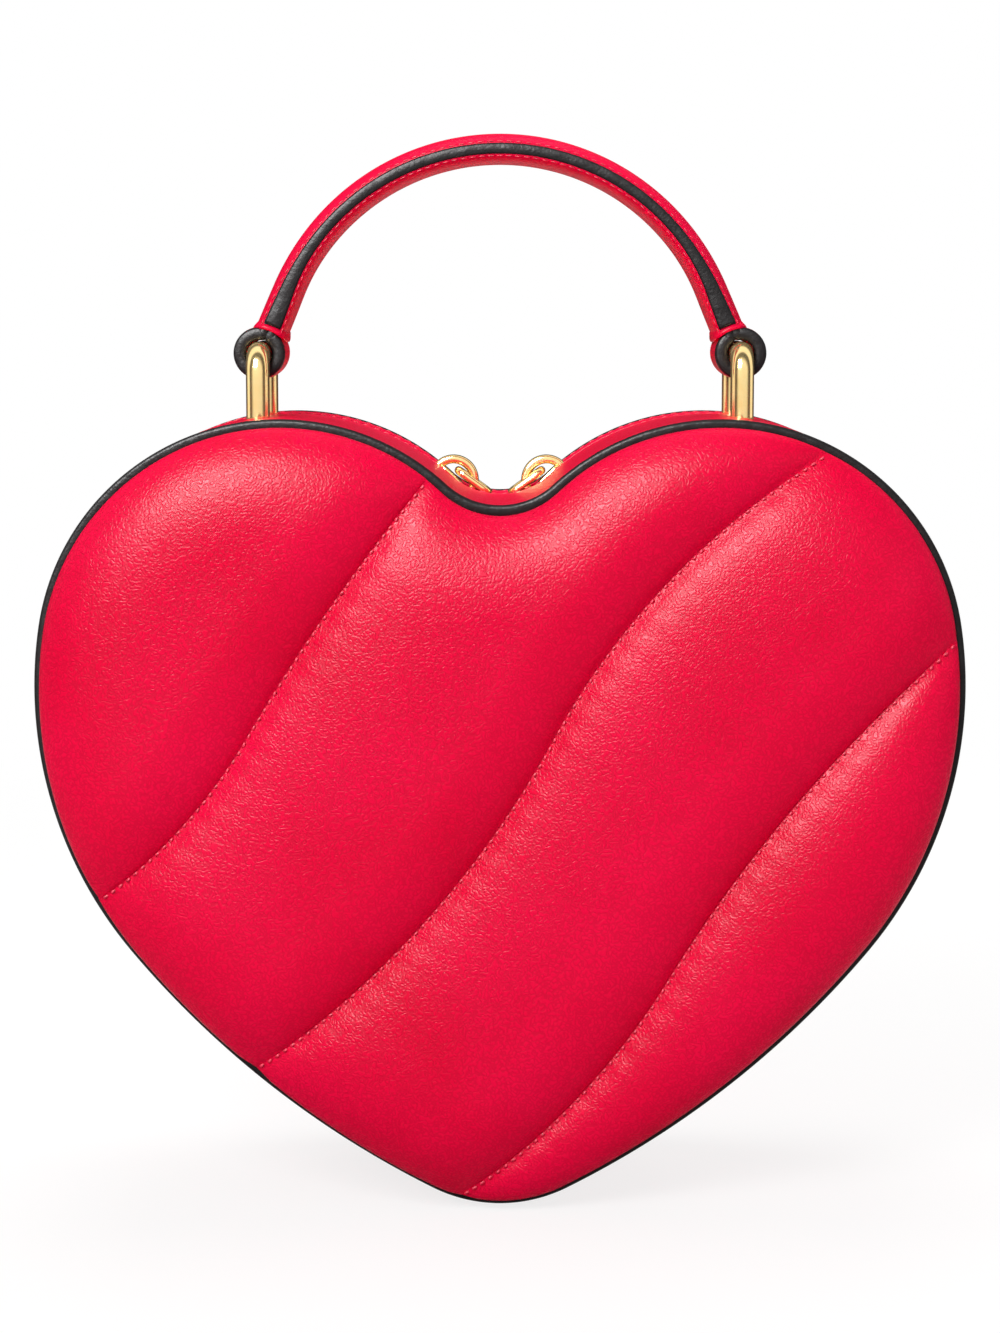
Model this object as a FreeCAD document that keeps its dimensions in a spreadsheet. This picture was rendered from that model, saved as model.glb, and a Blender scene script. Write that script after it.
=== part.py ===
import FreeCAD, Part
import Sketcher
import math
import os

# A heart-shaped leather purse with a padded, channel-stitched front, a zipped back and an arched handle.
# X runs across the heart, -Y is the front and Z is up. The origin is under the top of the handle's arch,
# where a hand or a hook carries the purse, so the heart hangs below it.

DOC = FreeCAD.newDocument("heart_purse")
SHEET = DOC.addObject("Spreadsheet::Sheet", "sizes")

# Driving sizes in millimetres, and angles in degrees.
SIZES = (
    ("heart_width", 236, "across both lobes at the black edge"),
    ("lobe_share", 0.2627, "radius of the two upper lobes, as a share of the heart's width"),
    ("shoulder_angle", 9.2, "where the lobe's arc ends, above level"),
    ("side_radius", 106, "outer side below the lobe"),
    ("side_angle", 39.2, "where the side's arc ends, below level"),
    ("flank_radius", 240, "long flank down to the tip"),
    ("tip_radius", 38, "rounded bottom tip"),
    ("cleft_radius", 20, "hollow between the lobes"),
    ("gusset_depth", 70, "between the middles of the two black edges"),
    ("edge_width", 2.4, "black edge, front to back"),
    ("edge_reach", 3, "black edge, outline to its inner side"),
    ("gusset_inset", 0.8, "gusset leather below the black edge"),
    ("leather", 1.4, "leather of the panels and gusset"),
    ("stiffener", 1.2, "board band inside the gusset"),
    ("lining", 0.6, "lining cloth"),
    ("panel_inset", 1.2, "black edge left bare round a panel"),
    ("front_crown", 12, "padded height of the front panel"),
    ("back_crown", 7, "padded height of the back panel"),
    ("crown_roll", 20, "width over which a panel rounds down to its edge"),
    ("channel_depth", 5.5, "stitched channel below the front crown"),
    ("channel_width", 13, "stitched channel where it opens on the front crown"),
    ("zip_setback", 10, "zip line in front of the back edge's middle"),
    ("zip_gap", 8.4, "between the two leather rims beside the zip"),
    ("tape_seat", 2.4, "zip tape sewn under a rim"),
    ("tape_thick", 0.6, "zip tape"),
    ("tooth_thick", 2.5, "zip teeth, through the tape"),
    ("tooth_reach", 1.3, "zip teeth, out from the tape's edge"),
    ("tooth_gap", 1.6, "between the two rows of teeth"),
    ("slider_length", 8.6, "slider along the zip"),
    ("slider_width", 7.8, "slider across the zip"),
    ("slider_plate", 1.1, "slider's upper and lower plate"),
    ("slider_clearance", 0.35, "slider plates clear of the teeth"),
    ("slider_shift", 1.5, "slider at rest, past the lobe's arc towards the cleft"),
    ("post_width", 1.1, "slider's post between the rows of teeth"),
    ("post_length", 2.4, "slider's post along the zip"),
    ("crown_radius", 5.6, "slider's crown loop, outside"),
    ("crown_band", 2.2, "slider's crown loop, thickness"),
    ("crown_width", 2.6, "slider's crown loop, across the zip"),
    ("crown_sink", 0.4, "crown's feet let into the upper plate"),
    ("pull_meet", 2.3, "zip pull's end short of the middle of the cleft"),
    ("pull_width", 5.8, "zip pull between its two sides"),
    ("pull_wire", 1.6, "zip pull wire"),
    ("pull_corner", 1.6, "zip pull corner, at the middle of the wire"),
    ("pull_lift", 1.5, "zip pull's bar above the slider"),
    ("pull_tilt", 8, "zip pull raised off the slope at rest"),
    ("handle_half_angle", 67, "handle's arc each side of its top"),
    ("handle_width", 22, "handle's black strap, front to back"),
    ("strap_thick", 2.6, "handle's black strap"),
    ("pad_margin", 0.6, "strap left bare beside the padded leather"),
    ("upper_pad", 2.9, "padded leather on the handle's outside"),
    ("lower_pad", 2.5, "padded leather on the handle's underside"),
    ("loop_drop", 17.5, "handle's end to the middle of its loop"),
    ("loop_width", 20.8, "handle loop, front to back"),
    ("loop_leather", 3.4, "folded leather of a loop"),
    ("loop_slack", 0.75, "loop's hole larger than the arch bar"),
    ("tab_thick", 5.6, "two layers of the loop where they enter the handle"),
    ("arch_beside", 6.8, "arch outside the lobe's centre"),
    ("arch_rise", 18.2, "middle of the arch's bar above the gusset's stiffener"),
    ("arch_wire", 6.1, "round metal arch"),
    ("arch_span", 30, "between the arch's legs"),
    ("arch_corner", 4.5, "arch's bend, at the middle of the wire"),
    ("leg_clearance", 0.1, "leg in its hole in the leather"),
    ("plate_length", 36, "backing plate, front to back"),
    ("plate_width", 14, "backing plate, across"),
    ("plate_thick", 1.4, "backing plate"),
    ("screw_size", 3, "screw shank"),
    ("screw_grip", 7, "screw's length inside a leg"),
    ("screw_clearance", 0.1, "screw in its holes"),
    ("head_size", 5.6, "screw head"),
    ("head_height", 1.6, "screw head"),
    ("pocket_width", 110, "slip pocket inside"),
    ("pocket_height", 70, "slip pocket inside"),
    ("pocket_drop", 8, "slip pocket's rim below the lobes' centres"),
    ("pocket_cloth", 0.8, "slip pocket's doubled cloth"),
    ("pocket_corner", 12, "slip pocket's lower corners"),
)

for row, (alias, value, note) in enumerate(SIZES, start=1):
    SHEET.set("A%d" % row, alias)
    SHEET.set("B%d" % row, str(value))
    SHEET.set("C%d" % row, note)
    SHEET.setAlias("B%d" % row, alias)
DOC.recompute()


class Size:
    """A length held as a number and as the text that ties it to the sheet."""

    def __init__(self, text, value):
        self.text = text
        self.value = value

    def __add__(self, other):
        other = as_size(other)
        return Size("(%s + %s)" % (self.text, other.text), self.value + other.value)

    def __sub__(self, other):
        other = as_size(other)
        return Size("(%s - %s)" % (self.text, other.text), self.value - other.value)

    def __mul__(self, other):
        other = as_size(other)
        return Size("(%s * %s)" % (self.text, other.text), self.value * other.value)

    def __truediv__(self, other):
        other = as_size(other)
        return Size("(%s / %s)" % (self.text, other.text), self.value / other.value)

    def __neg__(self):
        return Size("(0 - %s)" % self.text, -self.value)


def as_size(thing):
    """A Size as it is, or a plain number as a Size."""
    if isinstance(thing, Size):
        return thing
    return Size("%.9g" % thing, float(thing))


def size(alias):
    """One cell of the sheet."""
    return Size("sizes.%s" % alias, float(getattr(SHEET, alias)))


def root(thing):
    """Square root of a Size."""
    return Size("sqrt(%s)" % thing.text, math.sqrt(thing.value))


def sine(angle):
    """Sine of an angle in degrees."""
    return Size("sin(%s * 1 deg)" % angle.text, math.sin(math.radians(angle.value)))


def cosine(angle):
    """Cosine of an angle in degrees."""
    return Size("cos(%s * 1 deg)" % angle.text, math.cos(math.radians(angle.value)))


def tie(thing, name, length):
    """Ties a property of an object to the sheet."""
    thing.setExpression(name, length.text)


def place(thing, x=0, y=0, z=0, turn=None):
    """Puts an object at a place tied to the sheet, turned about the Y axis if asked."""
    if turn is not None:
        thing.Placement.Rotation = FreeCAD.Rotation(FreeCAD.Vector(0, 1, 0), turn.value)
        tie(thing, "Placement.Rotation.Angle", turn)
    for axis, length in (("x", x), ("y", y), ("z", z)):
        tie(thing, "Placement.Base.%s" % axis, as_size(length))


# Shared measures of the whole purse.
FRONT_EDGE = -size("gusset_depth") / 2
BACK_EDGE = size("gusset_depth") / 2
FRONT_FACE = FRONT_EDGE - size("edge_width") / 2
FRONT_SEAM = FRONT_EDGE + size("edge_width") / 2
BACK_SEAM = BACK_EDGE - size("edge_width") / 2
BACK_FACE = BACK_EDGE + size("edge_width") / 2
ZIP_LINE = BACK_EDGE - size("zip_setback")
BODY_RIM = ZIP_LINE - size("zip_gap") / 2
LID_RIM = ZIP_LINE + size("zip_gap") / 2
BODY_SEAT = BODY_RIM - size("tape_seat")
BODY_TEETH = ZIP_LINE - size("tooth_gap") / 2
LID_TEETH = ZIP_LINE + size("tooth_gap") / 2
LID_SEAT = LID_RIM + (BACK_SEAM - LID_RIM) / 2

GUSSET_INNER = size("gusset_inset") + size("leather")
STIFFENER_INNER = GUSSET_INNER + size("stiffener")
LINING_INNER = STIFFENER_INNER + size("lining")
TAPE_MIDDLE = GUSSET_INNER + size("tape_thick") / 2
TOOTH_OUTER = TAPE_MIDDLE - size("tooth_thick") / 2
TOOTH_INNER = TAPE_MIDDLE + size("tooth_thick") / 2

LOBE_RADIUS = size("heart_width") * size("lobe_share")
SIDE_STEP = size("side_radius") - LOBE_RADIUS
LOBE_X = size("heart_width") / 2 - size("side_radius") + SIDE_STEP * cosine(size("shoulder_angle"))
SIDE_BELOW = SIDE_STEP * sine(size("shoulder_angle"))
FLANK_STEP = size("flank_radius") - size("side_radius")
FLANK_ABOVE = FLANK_STEP * sine(size("side_angle")) - SIDE_BELOW

# The arches stand on the lobes, the handle's arc reaches from one arch to the other, and the heart hangs
# below the grip by the rise of the handle and of the arches.
HANDLE_ANGLE = size("handle_half_angle")
LOOP_X = LOBE_X + size("arch_beside")
HANDLE_RADIUS = (LOOP_X - size("loop_drop") * cosine(HANDLE_ANGLE)) / sine(HANDLE_ANGLE)
STRAP_OUTER = HANDLE_RADIUS + size("strap_thick") / 2
STRAP_INNER = HANDLE_RADIUS - size("strap_thick") / 2
HANDLE_CENTRE = size("lower_pad") - STRAP_INNER
LOOP_Z = HANDLE_CENTRE + HANDLE_RADIUS * cosine(HANDLE_ANGLE) - size("loop_drop") * sine(HANDLE_ANGLE)
STIFFENER_TOP = LOOP_Z - size("arch_rise")
LOBE_LEVEL = STIFFENER_TOP - LOBE_RADIUS + GUSSET_INNER

TIP, FLANK, SIDE, LOBE, CLEFT = range(5)
WHOLE = (TIP, CLEFT)
ZIPPED = (FLANK, LOBE)
TAPED = (FLANK, CLEFT)
HINGED = (TIP, TIP)


def outline_centres():
    """Centres of the right half's five arcs from the lobes' level, and the angles where they meet."""
    shoulder = math.radians(size("shoulder_angle").value)
    side_end = -math.radians(size("side_angle").value)
    lobe = FreeCAD.Vector(LOBE_X.value, 0, 0)
    side = FreeCAD.Vector(LOBE_X.value - SIDE_STEP.value * math.cos(shoulder), -SIDE_BELOW.value, 0)
    flank_x = side.x - FLANK_STEP.value * math.cos(side_end)
    flank = FreeCAD.Vector(flank_x, FLANK_ABOVE.value, 0)
    reach = size("flank_radius").value - size("tip_radius").value
    flank_end = -math.acos(-flank.x / reach)
    tip = FreeCAD.Vector(0, flank.y + reach * math.sin(flank_end), 0)
    cleft_reach = LOBE_RADIUS.value + size("cleft_radius").value
    cleft = FreeCAD.Vector(0, math.sqrt(cleft_reach ** 2 - LOBE_X.value ** 2), 0)
    lobe_end = math.atan2(cleft.y, -LOBE_X.value)
    return (tip, flank, side, lobe, cleft), (flank_end, side_end, shoulder, lobe_end)


CENTRES, MEETINGS = outline_centres()


class Outline:
    """One smooth half outline in a sketch, at an inset from the heart, with only a run of it drawn."""

    def __init__(self, sketch, inset, run):
        flank_end, side_end, shoulder, lobe_end = MEETINGS
        bottom = -math.pi / 2
        radii = (
            size("tip_radius") - inset,
            size("flank_radius") - inset,
            size("side_radius") - inset,
            LOBE_RADIUS - inset,
            size("cleft_radius") + inset,
        )
        spans = (
            (bottom, flank_end),
            (flank_end, side_end),
            (side_end, shoulder),
            (shoulder, lobe_end),
            (bottom, lobe_end - math.pi),
        )
        self.arcs = []
        for kind, (centre, radius, span) in enumerate(zip(CENTRES, radii, spans)):
            circle = Part.Circle(centre, FreeCAD.Vector(0, 0, 1), radius.value)
            arc = sketch.addGeometry(Part.ArcOfCircle(circle, *span), not run[0] <= kind <= run[1])
            measure(sketch, ("Radius", arc), radius)
            self.arcs.append(arc)
        tip, flank, side, lobe, cleft = self.arcs
        meetings = ((tip, flank, 1), (flank, side, 1), (side, lobe, 1), (lobe, cleft, 2))
        for before, after, after_end in meetings:
            sketch.addConstraint(Sketcher.Constraint("Tangent", before, 2, after, after_end))
        for arc in (tip, cleft):
            sketch.addConstraint(Sketcher.Constraint("PointOnObject", arc, 3, -2))
            sketch.addConstraint(Sketcher.Constraint("PointOnObject", arc, 1, -2))
        sketch.addConstraint(Sketcher.Constraint("PointOnObject", lobe, 3, -1))
        measure(sketch, ("DistanceX", -1, 1, lobe, 3), LOBE_X)
        measure(sketch, ("DistanceY", side, 3, -1, 1), SIDE_BELOW)
        measure(sketch, ("DistanceY", -1, 1, flank, 3), FLANK_ABOVE)
        self.start = (self.arcs[run[0]], 2 if run[0] == CLEFT else 1)
        self.end = (self.arcs[run[1]], 1 if run[1] == CLEFT else 2)


def measure(sketch, parts, length):
    """Adds one dimension to a sketch and ties it to the sheet."""
    index = sketch.addConstraint(Sketcher.Constraint(*parts, length.value))
    sketch.setExpression("Constraints[%d]" % index, length.text)


def join(sketch, first, second):
    """A straight line between two ends in a sketch."""
    span = Part.LineSegment(sketch.getPoint(*first), sketch.getPoint(*second))
    line = sketch.addGeometry(span, False)
    sketch.addConstraint(Sketcher.Constraint("Coincident", line, 1, *first))
    sketch.addConstraint(Sketcher.Constraint("Coincident", line, 2, *second))
    return line


def new_body(label):
    """An empty body with a node's name."""
    body = DOC.addObject("PartDesign::Body", label)
    body.Label = label
    return body


def origin_plane(body, role):
    """One of a body's own origin planes or axes."""
    for feature in body.Origin.OriginFeatures:
        if feature.Role == role:
            return feature
    raise ValueError("no plane %s" % role)


def new_sketch(body, role, offset):
    """A sketch on a body's origin plane, moved along the plane's normal."""
    sketch = body.newObject("Sketcher::SketchObject", body.Name + "_sketch")
    sketch.AttachmentSupport = [(origin_plane(body, role), "")]
    sketch.MapMode = "FlatFace"
    sketch.AttachmentOffset.Base.z = as_size(offset).value
    tie(sketch, "AttachmentOffset.Base.z", as_size(offset))
    return sketch


def upright_sketch(body, y):
    """A sketch facing the front, at a depth. Its pads grow towards the front."""
    return new_sketch(body, "XZ_Plane", -as_size(y))


def pad(body, sketch, length):
    """A pad of a sketch, tied to the sheet."""
    feature = body.newObject("PartDesign::Pad", body.Name + "_pad")
    feature.Profile = sketch
    tie(feature, "Length", as_size(length))
    return feature


def mirror(body, feature):
    """The left half of a piece, as the mirror of its right half."""
    mirrored = body.newObject("PartDesign::Mirrored", body.Name + "_mirrored")
    mirrored.Originals = [feature]
    mirrored.MirrorPlane = (origin_plane(body, "YZ_Plane"), [""])
    body.Tip = mirrored
    return mirrored


def half_heart(body, inset, y):
    """A sketch of half a heart, closed along its middle line."""
    sketch = upright_sketch(body, y)
    outline = Outline(sketch, inset, WHOLE)
    join(sketch, outline.start, outline.end)
    return sketch


def heart_plate(label, inset, y_front, y_back):
    """A flat heart, such as a board or a lining."""
    body = new_body(label)
    sketch = half_heart(body, inset, y_back)
    mirror(body, pad(body, sketch, y_back - y_front))
    place(body, z=LOBE_LEVEL)
    return body


def heart_band(label, outer, inner, y_front, y_back, run=WHOLE):
    """A band along the heart's outline between two insets, such as an edge, gusset or tape."""
    body = new_body(label)
    sketch = upright_sketch(body, y_back)
    outside = Outline(sketch, outer, run)
    inside = Outline(sketch, inner, run)
    join(sketch, outside.start, inside.start)
    join(sketch, outside.end, inside.end)
    mirror(body, pad(body, sketch, y_back - y_front))
    place(body, z=LOBE_LEVEL)
    return body


# Steps of a panel's rounded edge, as shares of its crown.
CROWN_STEPS = (0.0, 0.35, 0.65, 0.87, 1.0)


def crowned_heart(label, inset, roll, base, rise):
    """A padded heart: its edge rounds in along a quarter ellipse to a nearly flat crown."""
    body = new_body(label)
    sections = []
    for share in CROWN_STEPS:
        drawn_in = roll * (1 - math.sqrt(1 - share ** 2))
        sections.append(half_heart(body, inset + drawn_in, base + rise * share))
    loft = body.newObject("PartDesign::AdditiveLoft", body.Name + "_loft")
    loft.Profile = sections[0]
    loft.Sections = sections[1:]
    mirror(body, loft)
    place(body, z=LOBE_LEVEL)
    return body


def cut(label, base, tool):
    """What is left of one object when another is taken out of it."""
    result = DOC.addObject("Part::Cut", label)
    result.Label = label
    result.Base = base
    result.Tool = tool
    return result


def cylinder(name, radius, height, x, y, z):
    """An upright cylinder, tied to the sheet."""
    thing = DOC.addObject("Part::Cylinder", name)
    tie(thing, "Radius", as_size(radius))
    tie(thing, "Height", as_size(height))
    place(thing, x, y, z)
    return thing


def group(name, things):
    """Several solids as one object."""
    result = DOC.addObject("Part::Compound", name)
    result.Label = name
    result.Links = things
    return result


def turned_about_y(label, draw, angle):
    """A section drawn at the top of an arc about the Y axis, and turned along that arc both ways."""
    body = new_body(label)
    sketch = new_sketch(body, "YZ_Plane", 0)
    draw(sketch)
    turned = body.newObject("PartDesign::Revolution", label + "_turned")
    turned.Profile = sketch
    turned.ReferenceAxis = (origin_plane(body, "Y_Axis"), [""])
    turned.Midplane = True
    tie(turned, "Angle", angle)
    return body


def polygon(sketch, corners):
    """A closed polygon in a sketch, with every corner tied to the sheet."""
    points = [FreeCAD.Vector(across.value, along.value, 0) for across, along in corners]
    lines = []
    for index, start in enumerate(points):
        stop = points[(index + 1) % len(points)]
        lines.append(sketch.addGeometry(Part.LineSegment(start, stop), False))
    for index, (across, along) in enumerate(corners):
        sketch.addConstraint(Sketcher.Constraint("Coincident", lines[index - 1], 2, lines[index], 1))
        for kind, length in (("DistanceX", across), ("DistanceY", along)):
            if length.value < 0:
                measure(sketch, (kind, lines[index], 1, -1, 1), -length)
            else:
                measure(sketch, (kind, -1, 1, lines[index], 1), length)


# Black painted edges that bind the panels to the gusset.
front_edge = heart_band("front_edge", as_size(0), size("edge_reach"), FRONT_FACE, FRONT_SEAM)
back_edge = heart_band("back_edge", as_size(0), size("edge_reach"), BACK_SEAM, BACK_FACE)

# Boards inside the panels.
front_board = heart_plate("front_board", size("edge_reach"), FRONT_FACE, FRONT_SEAM)
back_board = heart_plate("back_board", size("edge_reach"), BACK_SEAM, BACK_FACE)

# Lines of stitching that draw the front down into channels. Each is an S of two arcs that meet smoothly.
# Its upper end, middle and lower end are shares of half the heart's width from the lobes' level, and the
# last number is its heading in degrees at the middle.
SEAMS = (
    ((-0.173, 0.379), (-0.543, -0.153), (-0.852, -0.497), -120.5),
    ((0.697, 0.457), (0.125, -0.152), (-0.516, -0.867), -118.2),
    ((0.967, 0.047), (0.361, -0.677), (-0.075, -1.153), -120.9),
)
RUN_OUT = 0.05


def seam_arcs():
    """The seams' arcs as centre, radius, middle direction and span, in the shares of the seams."""
    arcs = []
    for upper, middle, lower, heading in SEAMS:
        slant = math.radians(heading)
        for end in (upper, lower):
            across = end[0] - middle[0]
            along = end[1] - middle[1]
            offset = along * math.cos(slant) - across * math.sin(slant)
            reach = (across ** 2 + along ** 2) / (2 * offset)
            centre = (middle[0] - reach * math.sin(slant), middle[1] + reach * math.cos(slant))
            begin = math.atan2(middle[1] - centre[1], middle[0] - centre[0])
            finish = math.atan2(end[1] - centre[1], end[0] - centre[0])
            sweep = math.remainder(finish - begin, 2 * math.pi)
            sweep += math.copysign(RUN_OUT / abs(reach), sweep)
            arcs.append((centre, abs(reach), begin + sweep / 2, abs(sweep)))
    return arcs


def channels(name, sink):
    """V-shaped channels along the seams, sunk into the front by a further depth."""
    half = size("heart_width") / 2
    crown = FRONT_FACE - size("front_crown")
    floor = crown + size("channel_depth") + sink
    mouth = crown - size("leather")
    spread = size("channel_width") / 2 * (floor - mouth) / size("channel_depth")
    tools = []
    for index, (centre, radius, direction, span) in enumerate(seam_arcs()):
        arc = half * radius
        corners = ((floor, arc), (mouth, arc - spread), (mouth, arc + spread))
        tool = turned_about_y(
            "%s_%d" % (name, index), lambda sketch: polygon(sketch, corners), as_size(math.degrees(span)))
        place(
            tool, half * centre[0], 0, LOBE_LEVEL + half * centre[1],
            as_size(90 - math.degrees(direction)))
        tools.append(tool)
    return group(name, tools)


# Padding, and the leather over it. The leather keeps its thickness down the channels' sloping sides.
PADDING_INSET = size("panel_inset") + size("leather")
HALF_CHANNEL = size("channel_width") / 2
CHANNEL_SLOPE = root(HALF_CHANNEL * HALF_CHANNEL + size("channel_depth") * size("channel_depth"))
padding_block = crowned_heart(
    "padding_block", PADDING_INSET, size("crown_roll"), FRONT_FACE, size("leather") - size("front_crown"))
front_cover = crowned_heart(
    "front_cover", size("panel_inset"), size("crown_roll"), FRONT_FACE, -size("front_crown"))
front_padding = cut(
    "front_padding", padding_block,
    channels("padding_channels", size("leather") * CHANNEL_SLOPE / HALF_CHANNEL))
quilted_cover = cut("quilted_cover", front_cover, channels("cover_channels", as_size(0)))
front_leather = cut("front_leather", quilted_cover, front_padding)
back_padding = crowned_heart(
    "back_padding", PADDING_INSET, size("crown_roll"), BACK_FACE, size("back_crown") - size("leather"))
back_cover = crowned_heart(
    "back_cover", size("panel_inset"), size("crown_roll"), BACK_FACE, size("back_crown"))
back_leather = cut("back_leather", back_cover, back_padding)

# Gusset of the body, with its stiffener and lining.
gusset_leather = heart_band("gusset_leather", size("gusset_inset"), GUSSET_INNER, FRONT_SEAM, BODY_RIM)
stiffener_band = heart_band("stiffener_band", GUSSET_INNER, STIFFENER_INNER, FRONT_SEAM, BODY_SEAT)
front_lining = heart_plate("front_lining", STIFFENER_INNER, FRONT_SEAM, FRONT_SEAM + size("lining"))
lining_band = heart_band(
    "lining_band", STIFFENER_INNER, LINING_INNER, FRONT_SEAM + size("lining"), BODY_RIM)

# Gusset of the lid, which is the purse's back.
lid_gusset = heart_band("lid_gusset", size("gusset_inset"), GUSSET_INNER, LID_RIM, BACK_SEAM)
lid_stiffener = heart_band("lid_stiffener", GUSSET_INNER, STIFFENER_INNER, LID_SEAT, BACK_SEAM)
back_lining = heart_plate("back_lining", STIFFENER_INNER, BACK_SEAM - size("lining"), BACK_SEAM)
lid_lining = heart_band("lid_lining", STIFFENER_INNER, LINING_INNER, LID_SEAT, BACK_SEAM - size("lining"))

# Zip round the purse, and the leather hinge at the tip where it ends.
TAPE_INNER = GUSSET_INNER + size("tape_thick")
BODY_TAPE_END = BODY_TEETH - size("tooth_reach")
LID_TAPE_END = LID_TEETH + size("tooth_reach")
body_tape = heart_band("body_tape", GUSSET_INNER, TAPE_INNER, BODY_SEAT, BODY_TAPE_END, TAPED)
lid_tape = heart_band("lid_tape", GUSSET_INNER, TAPE_INNER, LID_TAPE_END, LID_SEAT, TAPED)
body_teeth = heart_band("body_teeth", TOOTH_OUTER, TOOTH_INNER, BODY_TAPE_END, BODY_TEETH, ZIPPED)
lid_teeth = heart_band("lid_teeth", TOOTH_OUTER, TOOTH_INNER, LID_TEETH, LID_TAPE_END, ZIPPED)
tip_hinge = heart_band("tip_hinge", size("gusset_inset"), GUSSET_INNER, BODY_RIM, LID_RIM, HINGED)


def slip_pocket():
    """A flat pocket of doubled cloth sewn to the front lining, with rounded lower corners."""
    body = new_body("inner_pocket")
    front = FRONT_SEAM + size("lining")
    sketch = upright_sketch(body, front + size("pocket_cloth"))
    half = size("pocket_width") / 2
    corner = size("pocket_corner")
    height = size("pocket_height")
    left = -half.value
    low = -height.value
    turn = corner.value
    corners = (
        FreeCAD.Vector(left, 0, 0),
        FreeCAD.Vector(left, low + turn, 0),
        FreeCAD.Vector(left + turn, low, 0),
        FreeCAD.Vector(-left - turn, low, 0),
        FreeCAD.Vector(-left, low + turn, 0),
        FreeCAD.Vector(-left, 0, 0),
    )
    rim = sketch.addGeometry(Part.LineSegment(corners[5], corners[0]), False)
    side_a = sketch.addGeometry(Part.LineSegment(corners[0], corners[1]), False)
    floor = sketch.addGeometry(Part.LineSegment(corners[2], corners[3]), False)
    side_b = sketch.addGeometry(Part.LineSegment(corners[4], corners[5]), False)
    centre_a = FreeCAD.Vector(left + turn, low + turn, 0)
    centre_b = FreeCAD.Vector(-left - turn, low + turn, 0)
    up = FreeCAD.Vector(0, 0, 1)
    round_a = Part.ArcOfCircle(Part.Circle(centre_a, up, turn), math.pi, 1.5 * math.pi)
    round_b = Part.ArcOfCircle(Part.Circle(centre_b, up, turn), 1.5 * math.pi, 2 * math.pi)
    bend_a = sketch.addGeometry(round_a, False)
    bend_b = sketch.addGeometry(round_b, False)
    for first, second in (((rim, 2), (side_a, 1)), ((side_b, 2), (rim, 1))):
        sketch.addConstraint(Sketcher.Constraint("Coincident", *first, *second))
    for first, second in (
            ((side_a, 2), (bend_a, 1)), ((bend_a, 2), (floor, 1)),
            ((floor, 2), (bend_b, 1)), ((bend_b, 2), (side_b, 1))):
        sketch.addConstraint(Sketcher.Constraint("Tangent", *first, *second))
    sketch.addConstraint(Sketcher.Constraint("Horizontal", rim))
    sketch.addConstraint(Sketcher.Constraint("Vertical", side_a))
    sketch.addConstraint(Sketcher.Constraint("Vertical", side_b))
    sketch.addConstraint(Sketcher.Constraint("PointOnObject", rim, 1, -1))
    measure(sketch, ("DistanceX", rim, 2, -1, 1), half)
    measure(sketch, ("DistanceX", -1, 1, rim, 1), half)
    measure(sketch, ("DistanceY", floor, 1, rim, 2), height)
    measure(sketch, ("Radius", bend_a), corner)
    measure(sketch, ("Radius", bend_b), corner)
    pad(body, sketch, size("pocket_cloth"))
    place(body, z=LOBE_LEVEL - size("pocket_drop"))
    return body


inner_pocket = slip_pocket()

# Handle: a black strap bent to an arc, with padded leather on both faces and a folded loop at each end.
def bent_along_handle(label, draw):
    """A section of the handle turned along its arc."""
    body = turned_about_y(label, draw, HANDLE_ANGLE * 2)
    place(body, z=HANDLE_CENTRE)
    return body


def strap_section(sketch):
    """The strap's flat section."""
    half = size("handle_width") / 2
    polygon(sketch, ((-half, STRAP_INNER), (half, STRAP_INNER), (half, STRAP_OUTER), (-half, STRAP_OUTER)))


def bow(sketch, half, base, rise):
    """A bowed line over the strap, from one side to the other, with its ends at the base."""
    radius = (half * half + rise * rise) / (rise * 2)
    middle = base + rise - radius
    if rise.value < 0:
        radius = -radius
    ends = (FreeCAD.Vector(-half.value, base.value, 0), FreeCAD.Vector(half.value, base.value, 0))
    top = FreeCAD.Vector(0, (base + rise).value, 0)
    arc = sketch.addGeometry(Part.Arc(ends[0], top, ends[1]), False)
    measure(sketch, ("Radius", arc), radius)
    sketch.addConstraint(Sketcher.Constraint("PointOnObject", arc, 3, -2))
    measure(sketch, ("DistanceY", -1, 1, arc, 3), middle)
    for end in (1, 2):
        measure(sketch, ("DistanceY", -1, 1, arc, end), base)
    return arc


def padded_section(half, base, rise):
    """Section of one padded face: its bowed outside, closed by a flat face on the strap."""
    def draw(sketch):
        arc = bow(sketch, half, base, rise)
        join(sketch, (arc, 1), (arc, 2))
    return draw


def padded_face(name, base, rise, skin):
    """The leather of one face of the handle, and the core that it is drawn over."""
    half = size("handle_width") / 2 - size("pad_margin")
    inner_half = half - size("leather")
    whole = bent_along_handle("%s_cover" % name, padded_section(half, base, rise))
    core = bent_along_handle("%s_core" % name, padded_section(inner_half, base, rise - skin))
    return cut("%s_leather" % name, whole, core), core


handle_strap = bent_along_handle("handle_strap", strap_section)
handle_top_leather, handle_top_core = padded_face(
    "handle_top", STRAP_OUTER, size("upper_pad"), size("leather"))
handle_grip_leather, handle_grip_core = padded_face(
    "handle_grip", STRAP_INNER, -size("lower_pad"), -size("leather"))


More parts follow.
